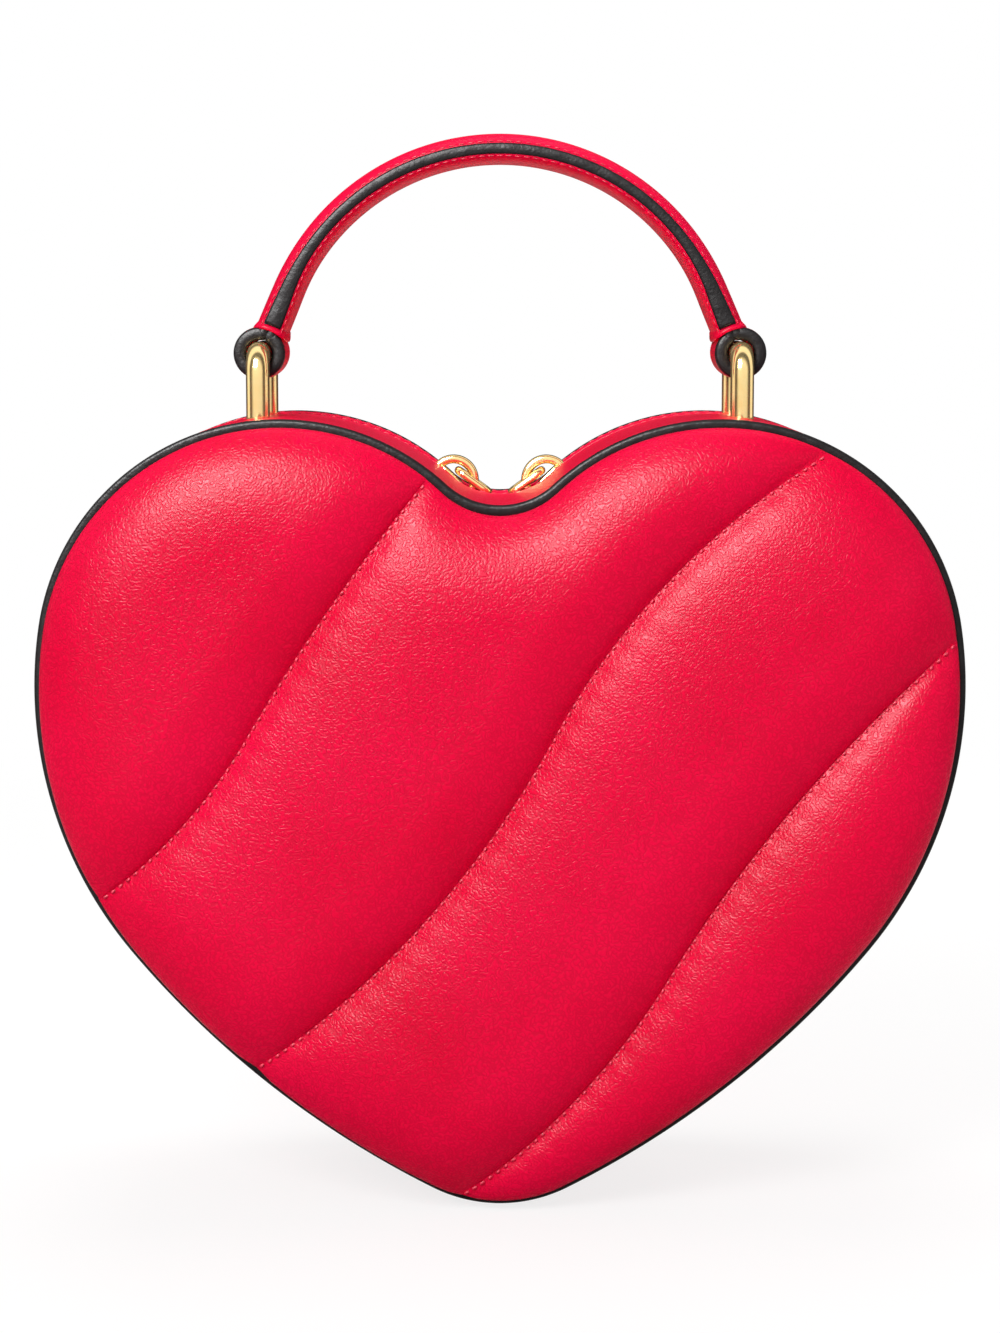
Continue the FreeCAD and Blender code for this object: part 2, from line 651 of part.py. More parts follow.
def handle_loop(label, hand):
    """Leather folded round an arch bar, with its doubled tail running up to the handle's end."""
    body = new_body(label)
    hole = size("arch_wire") / 2 + size("loop_slack")
    outer = hole + size("loop_leather")
    half_tab = size("tab_thick") / 2
    middle = size("loop_width") / 2
    tail = upright_sketch(body, middle)
    foot = root(outer * outer - half_tab * half_tab)
    corners = []
    for x, z in ((-1, foot), (1, foot), (1, size("loop_drop")), (-1, size("loop_drop"))):
        corners.append(FreeCAD.Vector(x * half_tab.value, z.value, 0))
    up = FreeCAD.Vector(0, 0, 1)
    start = math.atan2(foot.value, -half_tab.value)
    stop = math.atan2(foot.value, half_tab.value) + 2 * math.pi
    origin = FreeCAD.Vector(0, 0, 0)
    ring = tail.addGeometry(Part.ArcOfCircle(Part.Circle(origin, up, outer.value), start, stop), False)
    bore = tail.addGeometry(Part.Circle(origin, up, hole.value), False)
    right = tail.addGeometry(Part.LineSegment(corners[1], corners[2]), False)
    top = tail.addGeometry(Part.LineSegment(corners[2], corners[3]), False)
    left = tail.addGeometry(Part.LineSegment(corners[3], corners[0]), False)
    for first, second in (
            ((ring, 2), (right, 1)), ((right, 2), (top, 1)),
            ((top, 2), (left, 1)), ((left, 2), (ring, 1))):
        tail.addConstraint(Sketcher.Constraint("Coincident", *first, *second))
    for thing in (ring, bore):
        tail.addConstraint(Sketcher.Constraint("Coincident", thing, 3, -1, 1))
    measure(tail, ("Radius", ring), outer)
    measure(tail, ("Radius", bore), hole)
    for line in (right, left):
        tail.addConstraint(Sketcher.Constraint("Vertical", line))
    tail.addConstraint(Sketcher.Constraint("Horizontal", top))
    measure(tail, ("DistanceX", -1, 1, right, 1), half_tab)
    measure(tail, ("DistanceX", left, 1, -1, 1), half_tab)
    measure(tail, ("DistanceY", -1, 1, top, 1), size("loop_drop"))
    pad(body, tail, size("loop_width"))
    place(body, LOOP_X * hand, 0, LOOP_Z, (HANDLE_ANGLE - 90) * hand)
    return body


loop_left = handle_loop("loop_left", -1)
loop_right = handle_loop("loop_right", 1)

# Metal arches that carry the handle. Their legs pass the gusset leather and stand on its stiffener.
def arch(label, hand):
    """A round wire bent to an inverted U, with a threaded hole up each leg."""
    body = new_body(label)
    half = size("arch_span") / 2
    corner = size("arch_corner")
    path = new_sketch(body, "YZ_Plane", 0)
    turn = corner.value
    high = size("arch_rise").value
    wide = half.value
    up = FreeCAD.Vector(0, 0, 1)
    straights = []
    for start, stop in (
            ((-wide, 0), (-wide, high - turn)),
            ((turn - wide, high), (wide - turn, high)),
            ((wide, high - turn), (wide, 0))):
        line = Part.LineSegment(FreeCAD.Vector(*start, 0), FreeCAD.Vector(*stop, 0))
        straights.append(path.addGeometry(line, False))
    leg_a, bar, leg_b = straights
    round_a = Part.Circle(FreeCAD.Vector(turn - wide, high - turn, 0), up, turn)
    round_b = Part.Circle(FreeCAD.Vector(wide - turn, high - turn, 0), up, turn)
    bend_a = path.addGeometry(Part.ArcOfCircle(round_a, math.pi / 2, math.pi), False)
    bend_b = path.addGeometry(Part.ArcOfCircle(round_b, 0, math.pi / 2), False)
    for first, second in (
            ((leg_a, 2), (bend_a, 2)), ((bend_a, 1), (bar, 1)),
            ((bar, 2), (bend_b, 2)), ((bend_b, 1), (leg_b, 1))):
        path.addConstraint(Sketcher.Constraint("Tangent", *first, *second))
    for leg in (leg_a, leg_b):
        path.addConstraint(Sketcher.Constraint("Vertical", leg))
    for end in ((leg_a, 1), (leg_b, 2)):
        path.addConstraint(Sketcher.Constraint("PointOnObject", *end, -1))
    measure(path, ("DistanceX", leg_a, 1, -1, 1), half)
    measure(path, ("DistanceX", -1, 1, leg_b, 2), half)
    measure(path, ("DistanceY", -1, 1, bar, 1), size("arch_rise"))
    measure(path, ("Radius", bend_a), corner)
    measure(path, ("Radius", bend_b), corner)
    section = new_sketch(body, "XY_Plane", 0)
    wire_radius = size("arch_wire") / 2
    wire = section.addGeometry(Part.Circle(FreeCAD.Vector(0, -wide, 0), up, wire_radius.value), False)
    measure(section, ("Radius", wire), wire_radius)
    section.addConstraint(Sketcher.Constraint("PointOnObject", wire, 3, -2))
    measure(section, ("DistanceY", wire, 3, -1, 1), half)
    pipe = body.newObject("PartDesign::AdditivePipe", label + "_pipe")
    pipe.Profile = section
    pipe.Spine = (path, [])
    holes = new_sketch(body, "XY_Plane", 0)
    hole_radius = size("screw_size") / 2 + size("screw_clearance") / 2
    for side in (-1, 1):
        hole = holes.addGeometry(Part.Circle(FreeCAD.Vector(0, side * wide, 0), up, hole_radius.value), False)
        measure(holes, ("Radius", hole), hole_radius)
        holes.addConstraint(Sketcher.Constraint("PointOnObject", hole, 3, -2))
        ends = (hole, 3, -1, 1) if side < 0 else (-1, 1, hole, 3)
        measure(holes, ("DistanceY", *ends), half)
    drilled = body.newObject("PartDesign::Pocket", label + "_drilled")
    drilled.Profile = holes
    drilled.Reversed = True
    tie(drilled, "Length", size("screw_grip") + size("screw_size"))
    place(body, LOOP_X * hand, 0, STIFFENER_TOP)
    return body


arch_left = arch("arch_left", -1)
arch_right = arch("arch_right", 1)


def curved_plate(body, x_low, x_high, r_low, r_high, y_back, depth):
    """A plate that follows an arc about the body's origin, between two upright sides."""
    sketch = upright_sketch(body, y_back)
    up = FreeCAD.Vector(0, 0, 1)
    origin = FreeCAD.Vector(0, 0, 0)
    arcs = []
    for radius in (r_low, r_high):
        ends = [math.acos(x.value / radius.value) for x in (x_high, x_low)]
        arc = sketch.addGeometry(Part.ArcOfCircle(Part.Circle(origin, up, radius.value), *ends), False)
        sketch.addConstraint(Sketcher.Constraint("Coincident", arc, 3, -1, 1))
        measure(sketch, ("Radius", arc), radius)
        arcs.append(arc)
    for end, x in ((1, x_high), (2, x_low)):
        line = join(sketch, (arcs[0], end), (arcs[1], end))
        sketch.addConstraint(Sketcher.Constraint("Vertical", line))
        if x.value < 0:
            measure(sketch, ("DistanceX", line, 1, -1, 1), -x)
        else:
            measure(sketch, ("DistanceX", -1, 1, line, 1), x)
    return pad(body, sketch, depth)


def leg_places():
    """Places of the four legs, as hand and side."""
    return [(hand, side) for hand in (-1, 1) for side in (-1, 1)]


def bores(name, radius):
    """Four upright cylinders on the legs' lines, through the gusset's top."""
    tools = []
    low = STIFFENER_TOP - LOBE_RADIUS / 4
    for index, (hand, side) in enumerate(leg_places()):
        tools.append(cylinder(
            "%s_%d" % (name, index), radius, LOBE_RADIUS / 2,
            LOOP_X * hand, size("arch_span") / 2 * side, low))
    return group(name, tools)


leg_bores = bores("leg_bores", size("arch_wire") / 2 + size("leg_clearance"))
screw_bores = bores("screw_bores", size("screw_size") / 2 + size("screw_clearance"))
gusset = cut("gusset", gusset_leather, leg_bores)
gusset_stiffener = cut("gusset_stiffener", stiffener_band, screw_bores)
gusset_lining = cut("gusset_lining", lining_band, screw_bores)

# Backing plates under the lining, and the screws through them into the legs.
PLATE_TOP = LOBE_RADIUS - LINING_INNER
PLATE_UNDER = PLATE_TOP - size("plate_thick")


def backing_plate(label, hand):
    """A plate bent to the lining's curve, drilled for two screws."""
    body = new_body(label + "_blank")
    beside = (LOOP_X - LOBE_X) * hand
    half = size("plate_width") / 2
    curved_plate(
        body, beside - half, beside + half, PLATE_UNDER, PLATE_TOP,
        size("plate_length") / 2, size("plate_length"))
    place(body, LOBE_X * hand, 0, LOBE_LEVEL)
    return cut(label, body, screw_bores)


arch_plate_left = backing_plate("arch_plate_left", -1)
arch_plate_right = backing_plate("arch_plate_right", 1)


def screws():
    """Four screws, each a shank under the leg's thread with a round head below the plate."""
    made = []
    offset = LOOP_X - LOBE_X + size("head_size") / 2
    head_top = LOBE_LEVEL + root(PLATE_UNDER * PLATE_UNDER - offset * offset)
    for index, (hand, side) in enumerate(leg_places()):
        x = LOOP_X * hand
        y = size("arch_span") / 2 * side
        shank = cylinder(
            "screw_shank_%d" % index, size("screw_size") / 2, STIFFENER_TOP + size("screw_grip") - head_top,
            x, y, head_top)
        head = cylinder(
            "screw_head_%d" % index, size("head_size") / 2, size("head_height"),
            x, y, head_top - size("head_height"))
        screw = DOC.addObject("Part::Fuse", "screw_%d" % index)
        screw.Base = head
        screw.Tool = shank
        made.append(screw)
    return group("arch_screws", made)


arch_screws = screws()

# Zip sliders with a crown loop, and the wire pulls through the crowns. A slider rides the lobe's arc.
TEETH_TOP = LOBE_RADIUS - TOOTH_OUTER
TEETH_UNDER = LOBE_RADIUS - TOOTH_INNER
UPPER_FROM = TEETH_TOP + size("slider_clearance")
UPPER_TO = UPPER_FROM + size("slider_plate")
LOWER_TO = TEETH_UNDER - size("slider_clearance")
LOWER_FROM = LOWER_TO - size("slider_plate")
CLEFT_TURN = math.degrees(MEETINGS[3]) - 90
SHIFT_TURN = math.degrees(size("slider_shift").value / LOBE_RADIUS.value)
SLIDER_TURN = CLEFT_TURN + SHIFT_TURN


def slider(label, hand):
    """Two plates on a post between the rows of teeth, with a half-round crown loop on top."""
    body = new_body(label)
    half = size("slider_length") / 2
    side = size("slider_width") / 2
    curved_plate(body, -half, half, UPPER_FROM, UPPER_TO, ZIP_LINE + side, size("slider_width"))
    post = size("post_length") / 2
    post_side = size("post_width") / 2
    curved_plate(body, -post, post, LOWER_FROM, UPPER_TO, ZIP_LINE + post_side, size("post_width"))
    curved_plate(body, -half, half, LOWER_FROM, LOWER_TO, ZIP_LINE + side, size("slider_width"))
    crown = upright_sketch(body, ZIP_LINE + size("crown_width") / 2)
    up = FreeCAD.Vector(0, 0, 1)
    foot = root(UPPER_TO * UPPER_TO - size("crown_radius") * size("crown_radius")) - size("crown_sink")
    centre = FreeCAD.Vector(0, foot.value, 0)
    arcs = []
    for radius in (size("crown_radius") - size("crown_band"), size("crown_radius")):
        arc = crown.addGeometry(Part.ArcOfCircle(Part.Circle(centre, up, radius.value), 0, math.pi), False)
        crown.addConstraint(Sketcher.Constraint("PointOnObject", arc, 3, -2))
        measure(crown, ("DistanceY", -1, 1, arc, 3), foot)
        measure(crown, ("Radius", arc), radius)
        arcs.append(arc)
    for end in (1, 2):
        line = join(crown, (arcs[0], end), (arcs[1], end))
        crown.addConstraint(Sketcher.Constraint("Horizontal", line))
        measure(crown, ("DistanceY", -1, 1, line, 1), foot)
    pad(body, crown, size("crown_width"))
    place(body, LOBE_X * hand, 0, LOBE_LEVEL, as_size(-SLIDER_TURN * hand))
    return body


slider_left = slider("slider_left", -1)
slider_right = slider("slider_right", 1)

# A pull hangs from its slider's crown towards the middle of the cleft, and stops short of the other pull.
PULL_REACH = UPPER_TO + size("pull_lift")
PULL_SLOPE = as_size(SLIDER_TURN)
PULL_LEAN = PULL_SLOPE - size("pull_tilt")
PULL_X = LOBE_X - PULL_REACH * sine(PULL_SLOPE)
PULL_Z = LOBE_LEVEL + PULL_REACH * cosine(PULL_SLOPE)
PULL_LENGTH = (PULL_X - size("pull_meet") - size("pull_wire") / 2) / cosine(PULL_LEAN)


def zip_pull(label, hand):
    """A rounded oblong of round wire. Its near bar lies in the crown, its far bar down the slope."""
    body = new_body(label)
    path = new_sketch(body, "XY_Plane", 0)
    turn = size("pull_corner").value
    wide = size("pull_width").value / 2
    far = PULL_LENGTH.value
    up = FreeCAD.Vector(0, 0, 1)
    sides = (
        ((turn, -wide), (far - turn, -wide)),
        ((far, turn - wide), (far, wide - turn)),
        ((far - turn, wide), (turn, wide)),
        ((0, wide - turn), (0, turn - wide)),
    )
    rounds = ((far - turn, turn - wide), (far - turn, wide - turn), (turn, wide - turn), (turn, turn - wide))
    bars = []
    bends = []
    for index, ((start, stop), middle) in enumerate(zip(sides, rounds)):
        line = Part.LineSegment(FreeCAD.Vector(*start, 0), FreeCAD.Vector(*stop, 0))
        bars.append(path.addGeometry(line, False))
        circle = Part.Circle(FreeCAD.Vector(*middle, 0), up, turn)
        begins = (index - 1) * math.pi / 2
        bends.append(path.addGeometry(Part.ArcOfCircle(circle, begins, begins + math.pi / 2), False))
    for index in range(4):
        path.addConstraint(Sketcher.Constraint("Tangent", bars[index], 2, bends[index], 1))
        path.addConstraint(Sketcher.Constraint("Tangent", bends[index], 2, bars[(index + 1) % 4], 1))
        measure(path, ("Radius", bends[index]), size("pull_corner"))
    lower, far_bar, upper, near_bar = bars
    for bar in (lower, upper):
        path.addConstraint(Sketcher.Constraint("Horizontal", bar))
    for bar in (near_bar, far_bar):
        path.addConstraint(Sketcher.Constraint("Vertical", bar))
    path.addConstraint(Sketcher.Constraint("PointOnObject", near_bar, 1, -2))
    measure(path, ("DistanceY", -1, 1, upper, 1), size("pull_width") / 2)
    measure(path, ("DistanceY", lower, 1, -1, 1), size("pull_width") / 2)
    measure(path, ("DistanceX", -1, 1, far_bar, 1), PULL_LENGTH)
    section = new_sketch(body, "XZ_Plane", 0)
    wire = section.addGeometry(Part.Circle(FreeCAD.Vector(0, 0, 0), up, size("pull_wire").value / 2), False)
    section.addConstraint(Sketcher.Constraint("Coincident", wire, 3, -1, 1))
    measure(section, ("Radius", wire), size("pull_wire") / 2)
    pipe = body.newObject("PartDesign::AdditivePipe", label + "_pipe")
    pipe.Profile = section
    pipe.Spine = (path, [])
    turn_about = PULL_LEAN if hand < 0 else as_size(180) - PULL_LEAN
    place(body, PULL_X * hand, ZIP_LINE, PULL_Z, turn_about)
    return body


pull_left = zip_pull("pull_left", -1)
pull_right = zip_pull("pull_right", 1)

NODES = (
    front_leather, front_padding, front_board, front_edge, gusset, gusset_stiffener, front_lining,
    gusset_lining, inner_pocket, body_tape, body_teeth, tip_hinge, arch_left, arch_right,
    arch_plate_left, arch_plate_right, arch_screws, back_leather, back_padding, back_board, back_edge,
    lid_gusset, lid_stiffener, back_lining, lid_lining, lid_tape, lid_teeth, slider_left, slider_right,
    pull_left, pull_right, handle_strap, handle_top_leather, handle_top_core, handle_grip_leather,
    handle_grip_core, loop_left, loop_right,
)

DOC.recompute()
for thing in DOC.Objects:
    if "Invalid" in thing.State or "Error" in thing.State:
        raise RuntimeError("%s failed: %s" % (thing.Label, thing.State))
for node in NODES:
    if node.Shape.isNull() or not node.Shape.isValid():
        raise RuntimeError("%s has no valid shape" % node.Label)

os.makedirs("parts", exist_ok=True)
for node in NODES:
    node.Shape.exportStep("parts/%s.step" % node.Label)
    box = node.Shape.BoundBox
    print("%-20s %8.1f mm3  x %.1f..%.1f  y %.1f..%.1f  z %.1f..%.1f" % (
        node.Label, node.Shape.Volume, box.XMin, box.XMax, box.YMin, box.YMax, box.ZMin, box.ZMax))
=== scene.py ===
import bmesh
import bpy
import numpy as np
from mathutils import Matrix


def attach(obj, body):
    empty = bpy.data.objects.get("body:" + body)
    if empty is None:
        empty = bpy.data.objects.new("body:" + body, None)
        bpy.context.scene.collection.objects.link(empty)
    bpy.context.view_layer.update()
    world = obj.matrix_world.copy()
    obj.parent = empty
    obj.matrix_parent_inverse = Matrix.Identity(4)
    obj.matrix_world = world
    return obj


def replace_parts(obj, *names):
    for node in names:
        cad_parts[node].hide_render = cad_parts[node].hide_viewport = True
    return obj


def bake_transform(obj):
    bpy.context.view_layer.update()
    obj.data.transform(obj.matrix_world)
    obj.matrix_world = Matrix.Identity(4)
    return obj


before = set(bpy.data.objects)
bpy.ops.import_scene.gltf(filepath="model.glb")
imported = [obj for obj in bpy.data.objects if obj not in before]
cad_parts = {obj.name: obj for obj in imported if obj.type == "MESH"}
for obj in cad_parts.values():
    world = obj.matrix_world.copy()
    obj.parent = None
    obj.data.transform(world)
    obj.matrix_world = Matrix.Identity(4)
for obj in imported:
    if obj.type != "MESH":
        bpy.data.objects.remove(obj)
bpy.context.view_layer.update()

# Gusset: the purse's side wall, a strip of smooth red calf leather bent round the heart and sewn under both
# black edges. Its rear rim is turned in along the zip and topstitched. Sizes are in millimetres and new_piece
# turns them into metres, but the sizes in a material are in metres.
HEART_WIDTH = 236.0
LOBE_RADIUS = 0.2627 * HEART_WIDTH
SIDE_RADIUS = 106.0
FLANK_RADIUS = 240.0
TIP_RADIUS = 38.0
CLEFT_RADIUS = 20.0
SHOULDER = np.radians(9.2)
SIDE_END = -np.radians(39.2)
LOBE_LEVEL = -126.9738
LOBE_X = HEART_WIDTH / 2 - SIDE_RADIUS + (SIDE_RADIUS - LOBE_RADIUS) * np.cos(SHOULDER)
SIDE_CENTRE = np.array([HEART_WIDTH / 2 - SIDE_RADIUS, -(SIDE_RADIUS - LOBE_RADIUS) * np.sin(SHOULDER)])
FLANK_CENTRE = SIDE_CENTRE - (FLANK_RADIUS - SIDE_RADIUS) * np.array([np.cos(SIDE_END), np.sin(SIDE_END)])
FLANK_END = -np.arccos(-FLANK_CENTRE[0] / (FLANK_RADIUS - TIP_RADIUS))
TIP_CENTRE = np.array([0.0, FLANK_CENTRE[1] + (FLANK_RADIUS - TIP_RADIUS) * np.sin(FLANK_END)])
CLEFT_CENTRE = np.array([0.0, np.sqrt((LOBE_RADIUS + CLEFT_RADIUS) ** 2 - LOBE_X ** 2)])
LOBE_END = np.arctan2(CLEFT_CENTRE[1], -LOBE_X)

ARC_CENTRES = np.array([TIP_CENTRE, FLANK_CENTRE, SIDE_CENTRE, [LOBE_X, 0.0], CLEFT_CENTRE])
ARC_RADII = np.array([TIP_RADIUS, FLANK_RADIUS, SIDE_RADIUS, LOBE_RADIUS, CLEFT_RADIUS])
ARC_FROM = np.array([-np.pi / 2, FLANK_END, SIDE_END, SHOULDER, LOBE_END - np.pi])
ARC_TO = np.array([FLANK_END, SIDE_END, SHOULDER, LOBE_END, -np.pi / 2])
ARC_WAY = np.sign(ARC_TO - ARC_FROM)
ARC_STARTS = np.concatenate([[0.0], np.cumsum(np.abs(ARC_TO - ARC_FROM) * ARC_RADII)])
HALF_WAY = ARC_STARTS[5]
ROUND = 2 * HALF_WAY


def outline(way):
    """Points (x, z) and outward normals of the heart at path lengths from its tip, up the right side first.

    The right half is five tangent arcs, tip, flank, side, lobe and hollow cleft, and the left half mirrors it:
    point = centre + radius * (cos, sin), with the normal turned round on the cleft.
    """
    way = np.mod(way, ROUND)
    hand = np.where(way > HALF_WAY, -1.0, 1.0)
    way = np.where(way > HALF_WAY, ROUND - way, way)
    arc = np.clip(np.searchsorted(ARC_STARTS, way, side="right") - 1, 0, 4)
    turn = ARC_FROM[arc] + ARC_WAY[arc] * (way - ARC_STARTS[arc]) / ARC_RADII[arc]
    spoke = np.stack([np.cos(turn), np.sin(turn)], axis=-1)
    points = ARC_CENTRES[arc] + ARC_RADII[arc][:, None] * spoke
    normals = spoke * ARC_WAY[arc][:, None]
    points[:, 1] += LOBE_LEVEL
    mirror = np.stack([hand, np.ones_like(hand)], axis=-1)
    return points * mirror, normals * mirror


def band(way, profile):
    """A profile of (inset, y) pairs carried along the heart: point = outline - inset * normal, at depth y."""
    points, normals = outline(way)
    flat = points[:, None, :] - profile[None, :, 0, None] * normals[:, None, :]
    depth = np.broadcast_to(profile[None, :, 1], flat.shape[:2])
    return np.stack([flat[..., 0], depth, flat[..., 1]], axis=-1)


def quads(rows, columns, close_rows=False, close_columns=False):
    """Corner numbers of the quads between neighbours on a grid, joined round where it closes on itself."""
    index = np.arange(rows * columns).reshape(rows, columns)
    if close_rows:
        index = np.concatenate([index, index[:1]], axis=0)
    if close_columns:
        index = np.concatenate([index, index[:, :1]], axis=1)
    corners = (index[:-1, :-1], index[1:, :-1], index[1:, 1:], index[:-1, 1:])
    return np.stack(corners, axis=-1).reshape(-1, 4)


def copies(faces, size, count):
    """The faces of one shape of so many points, for all of its copies laid end to end."""
    return (faces[None] + (np.arange(count) * size)[:, None, None]).reshape(-1, 4)


def unit(vectors):
    """Rows of vectors, each brought to a length of 1."""
    return vectors / np.linalg.norm(vectors, axis=1)[:, None]


def new_piece(name, points, faces, body, slot, finishes, finish_of=None, closed=True):
    """A smooth mesh piece from points in millimetres, with doubles merged and a closed skin facing outwards."""
    mesh = bpy.data.meshes.new(name)
    mesh.vertices.add(points.size // 3)
    mesh.vertices.foreach_set("co", np.ravel(points) * 0.001)
    mesh.loops.add(faces.size)
    mesh.loops.foreach_set("vertex_index", faces.ravel())
    mesh.polygons.add(len(faces))
    mesh.polygons.foreach_set("loop_start", np.arange(len(faces)) * faces.shape[1])
    if finish_of is not None:
        mesh.polygons.foreach_set("material_index", finish_of)
    mesh.update(calc_edges=True)
    for finish in finishes:
        mesh.materials.append(finish)
    shell = bmesh.new()
    shell.from_mesh(mesh)
    bmesh.ops.remove_doubles(shell, verts=shell.verts, dist=2e-6)
    bmesh.ops.dissolve_degenerate(shell, edges=shell.edges, dist=1e-7)
    if closed:
        bmesh.ops.recalc_face_normals(shell, faces=shell.faces)
    shell.to_mesh(mesh)
    shell.free()
    mesh.shade_smooth()
    piece = bpy.data.objects.new(name, mesh)
    bpy.context.scene.collection.objects.link(piece)
    if body:
        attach(piece, body)
    return piece


def linear(code):
    """A colour written as an sRGB hex value, as linear red, green, blue and an alpha of 1."""
    values = np.array([int(code[place:place + 2], 16) for place in (1, 3, 5)]) / 255
    straight = np.where(values <= 0.04045, values / 12.92, ((values + 0.055) / 1.055) ** 2.4)
    return (*straight.tolist(), 1.0)


def add(tree, kind, inputs, **settings):
    """Adds one node and gives its outputs. An input that is a socket is linked, and any other is set."""
    made = tree.nodes.new(kind)
    for name, value in settings.items():
        setattr(made, name, value)
    for name, value in inputs.items():
        if isinstance(value, bpy.types.NodeSocket):
            tree.links.new(value, made.inputs[name])
        else:
            made.inputs[name].default_value = value
    return made.outputs


def new_finish(name):
    """A new material, its node tree and, as the only node in it, the piece's own coordinates."""
    finish = bpy.data.materials.new(name)
    finish.use_nodes = True
    tree = finish.node_tree
    tree.nodes.clear()
    return finish, tree, add(tree, "ShaderNodeTexCoord", {})["Object"]


def specks(tree, place, size, detail):
    """Noise with lumps of about one size."""
    return add(tree, "ShaderNodeTexNoise", {"Vector": place, "Scale": 1 / size, "Detail": detail})["Fac"]


def two_tone(tree, share, dark, light):
    """A colour between two hex values, by a share from 0 to 1."""
    return add(tree, "ShaderNodeMix", {"Factor": share, 6: linear(dark), 7: linear(light)}, data_type="RGBA")[2]


def raised(tree, height, distance):
    """Normals of a surface that rises by a distance where the height is 1."""
    return add(tree, "ShaderNodeBump", {"Height": height, "Distance": distance})["Normal"]


def coat(finish, tree, inputs):
    """Gives a material its one shader, and gives the material back."""
    shader = add(tree, "ShaderNodeBsdfPrincipled", inputs)["BSDF"]
    add(tree, "ShaderNodeOutputMaterial", {"Surface": shader})
    return finish


def calf_leather(name, deep, bright, grain_depth, dye_under_furrow_shade):
    """Chrome-tanned calf, dyed through and lightly embossed: worm-like furrows about 1 mm apart between flat
    tops, darkened with painted shade, a glossy top coat that is duller in the furrows, pores of 0.35 mm, and a
    slow drift of the dye."""
    finish, tree, place = new_finish(name)
    dye = add(tree, "ShaderNodeValToRGB", {"Fac": specks(tree, place, 0.045, 3.0)})["Color"]
    ramp = tree.nodes[-1].color_ramp
    ramp.elements[0].position = 0.3
    ramp.elements[0].color = linear(deep)
    ramp.elements[1].position = 0.7
    ramp.elements[1].color = linear(bright)
    worms = specks(tree, place, 0.00095, 0.3)
    away = add(tree, "ShaderNodeMath", {0: worms, 1: 0.5}, operation="SUBTRACT")["Value"]
    away = add(tree, "ShaderNodeMath", {0: away}, operation="ABSOLUTE")["Value"]
    grain = add(tree, "ShaderNodeMapRange", {"Value": away, "From Min": 0.0, "From Max": 0.2},
                interpolation_type="SMOOTHSTEP")["Result"]
    # Painted shade in the grain: the colour is mixed towards dark red #a00020 down in the furrows, and the last
    # argument sets how much dye stays there.
    painted_furrow_shade = add(tree, "ShaderNodeMapRange", {"Value": grain, "To Min": dye_under_furrow_shade, "To Max": 1.0})["Result"]
    tone = add(tree, "ShaderNodeMix", {"Factor": painted_furrow_shade, 6: linear("#a00020"), 7: dye}, data_type="RGBA")[2]
    pores = specks(tree, place, 0.00035, 1.0)
    relief = add(tree, "ShaderNodeMath", {0: pores, 1: 0.15, 2: grain}, operation="MULTIPLY_ADD")["Value"]
    rough = add(tree, "ShaderNodeMapRange", {"Value": grain, "To Min": 0.40, "To Max": 0.29})["Result"]
    normal = raised(tree, relief, grain_depth)
    return coat(finish, tree, {"Base Color": tone, "Roughness": rough, "Normal": normal, "IOR": 1.40,
                               "Specular IOR Level": 0.09})


# The last number is how much of the dye's colour stays at a furrow's bottom under the painted shade.
RED_CALF = calf_leather("red_calf_leather", "#dc0234", "#e80640", 0.00005, 0.72)
SMOOTH_CALF = calf_leather("red_calf_leather_stretched", "#dc0234", "#e80640", 0.00002, 0.95)

FRONT_FACE = -36.2
FRONT_SEAM = -33.8
BODY_RIM = 20.8
WALL_INSET = 0.6
WALL_BELLY = 0.45
LEATHER = 1.4
AROUND = np.linspace(0.0, ROUND, 900, endpoint=False)
belly = np.linspace(0.0, 1.0, 15)
turn_in = np.linspace(0.0, np.pi, 9)
outside = np.stack([WALL_INSET - WALL_BELLY * np.sin(np.pi * belly) ** 0.7,
                    FRONT_SEAM + (BODY_RIM - LEATHER / 2 - FRONT_SEAM) * belly], axis=-1)
rim = np.stack([WALL_INSET + LEATHER / 2 * (1 - np.cos(turn_in)),
                BODY_RIM - LEATHER / 2 + LEATHER / 2 * np.sin(turn_in)], axis=-1)
points = band(AROUND, np.concatenate([outside[:-1], rim, [[WALL_INSET + LEATHER, FRONT_SEAM]]]))
gusset = new_piece("gusset_leather", points, quads(*points.shape[:2], True, True), "body", "red_leather",
                   [SMOOTH_CALF])
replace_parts(gusset, "gusset")


def stitch_row(name, middles, along, out, length, thickness, body, finish):
    """A row of sewn stitches: one short thread for each middle, along its seam, and bowed out of the leather.

    A stitch is a tube of six sides and seven rings: radius = thickness / 2 * (1 - t^4)^0.5, and its axis lifts
    by 0.45 * thickness * (1 - t^2) from 0.2 * thickness deep, for t from -1 to 1 along the stitch.
    """
    t = np.linspace(-1.0, 1.0, 7)
    ring = np.linspace(0.0, 2 * np.pi, 6, endpoint=False)
    girth = thickness / 2 * np.sqrt(1.0001 - t ** 4)
    lift = thickness * 0.45 * (1 - t ** 2) - thickness * 0.2
    across = np.cross(along, out)
    axis = (middles[:, None, None, :] + along[:, None, None, :] * (t * length / 2)[None, :, None, None]
            + out[:, None, None, :] * lift[None, :, None, None])
    tube = (axis + across[:, None, None, :] * (girth[:, None] * np.cos(ring))[None, :, :, None]
            + out[:, None, None, :] * (girth[:, None] * np.sin(ring))[None, :, :, None])
    faces = copies(quads(len(t), len(ring), False, True), len(t) * len(ring), len(middles))
    new_piece(name, tube, faces, body, "red_leather", [finish])


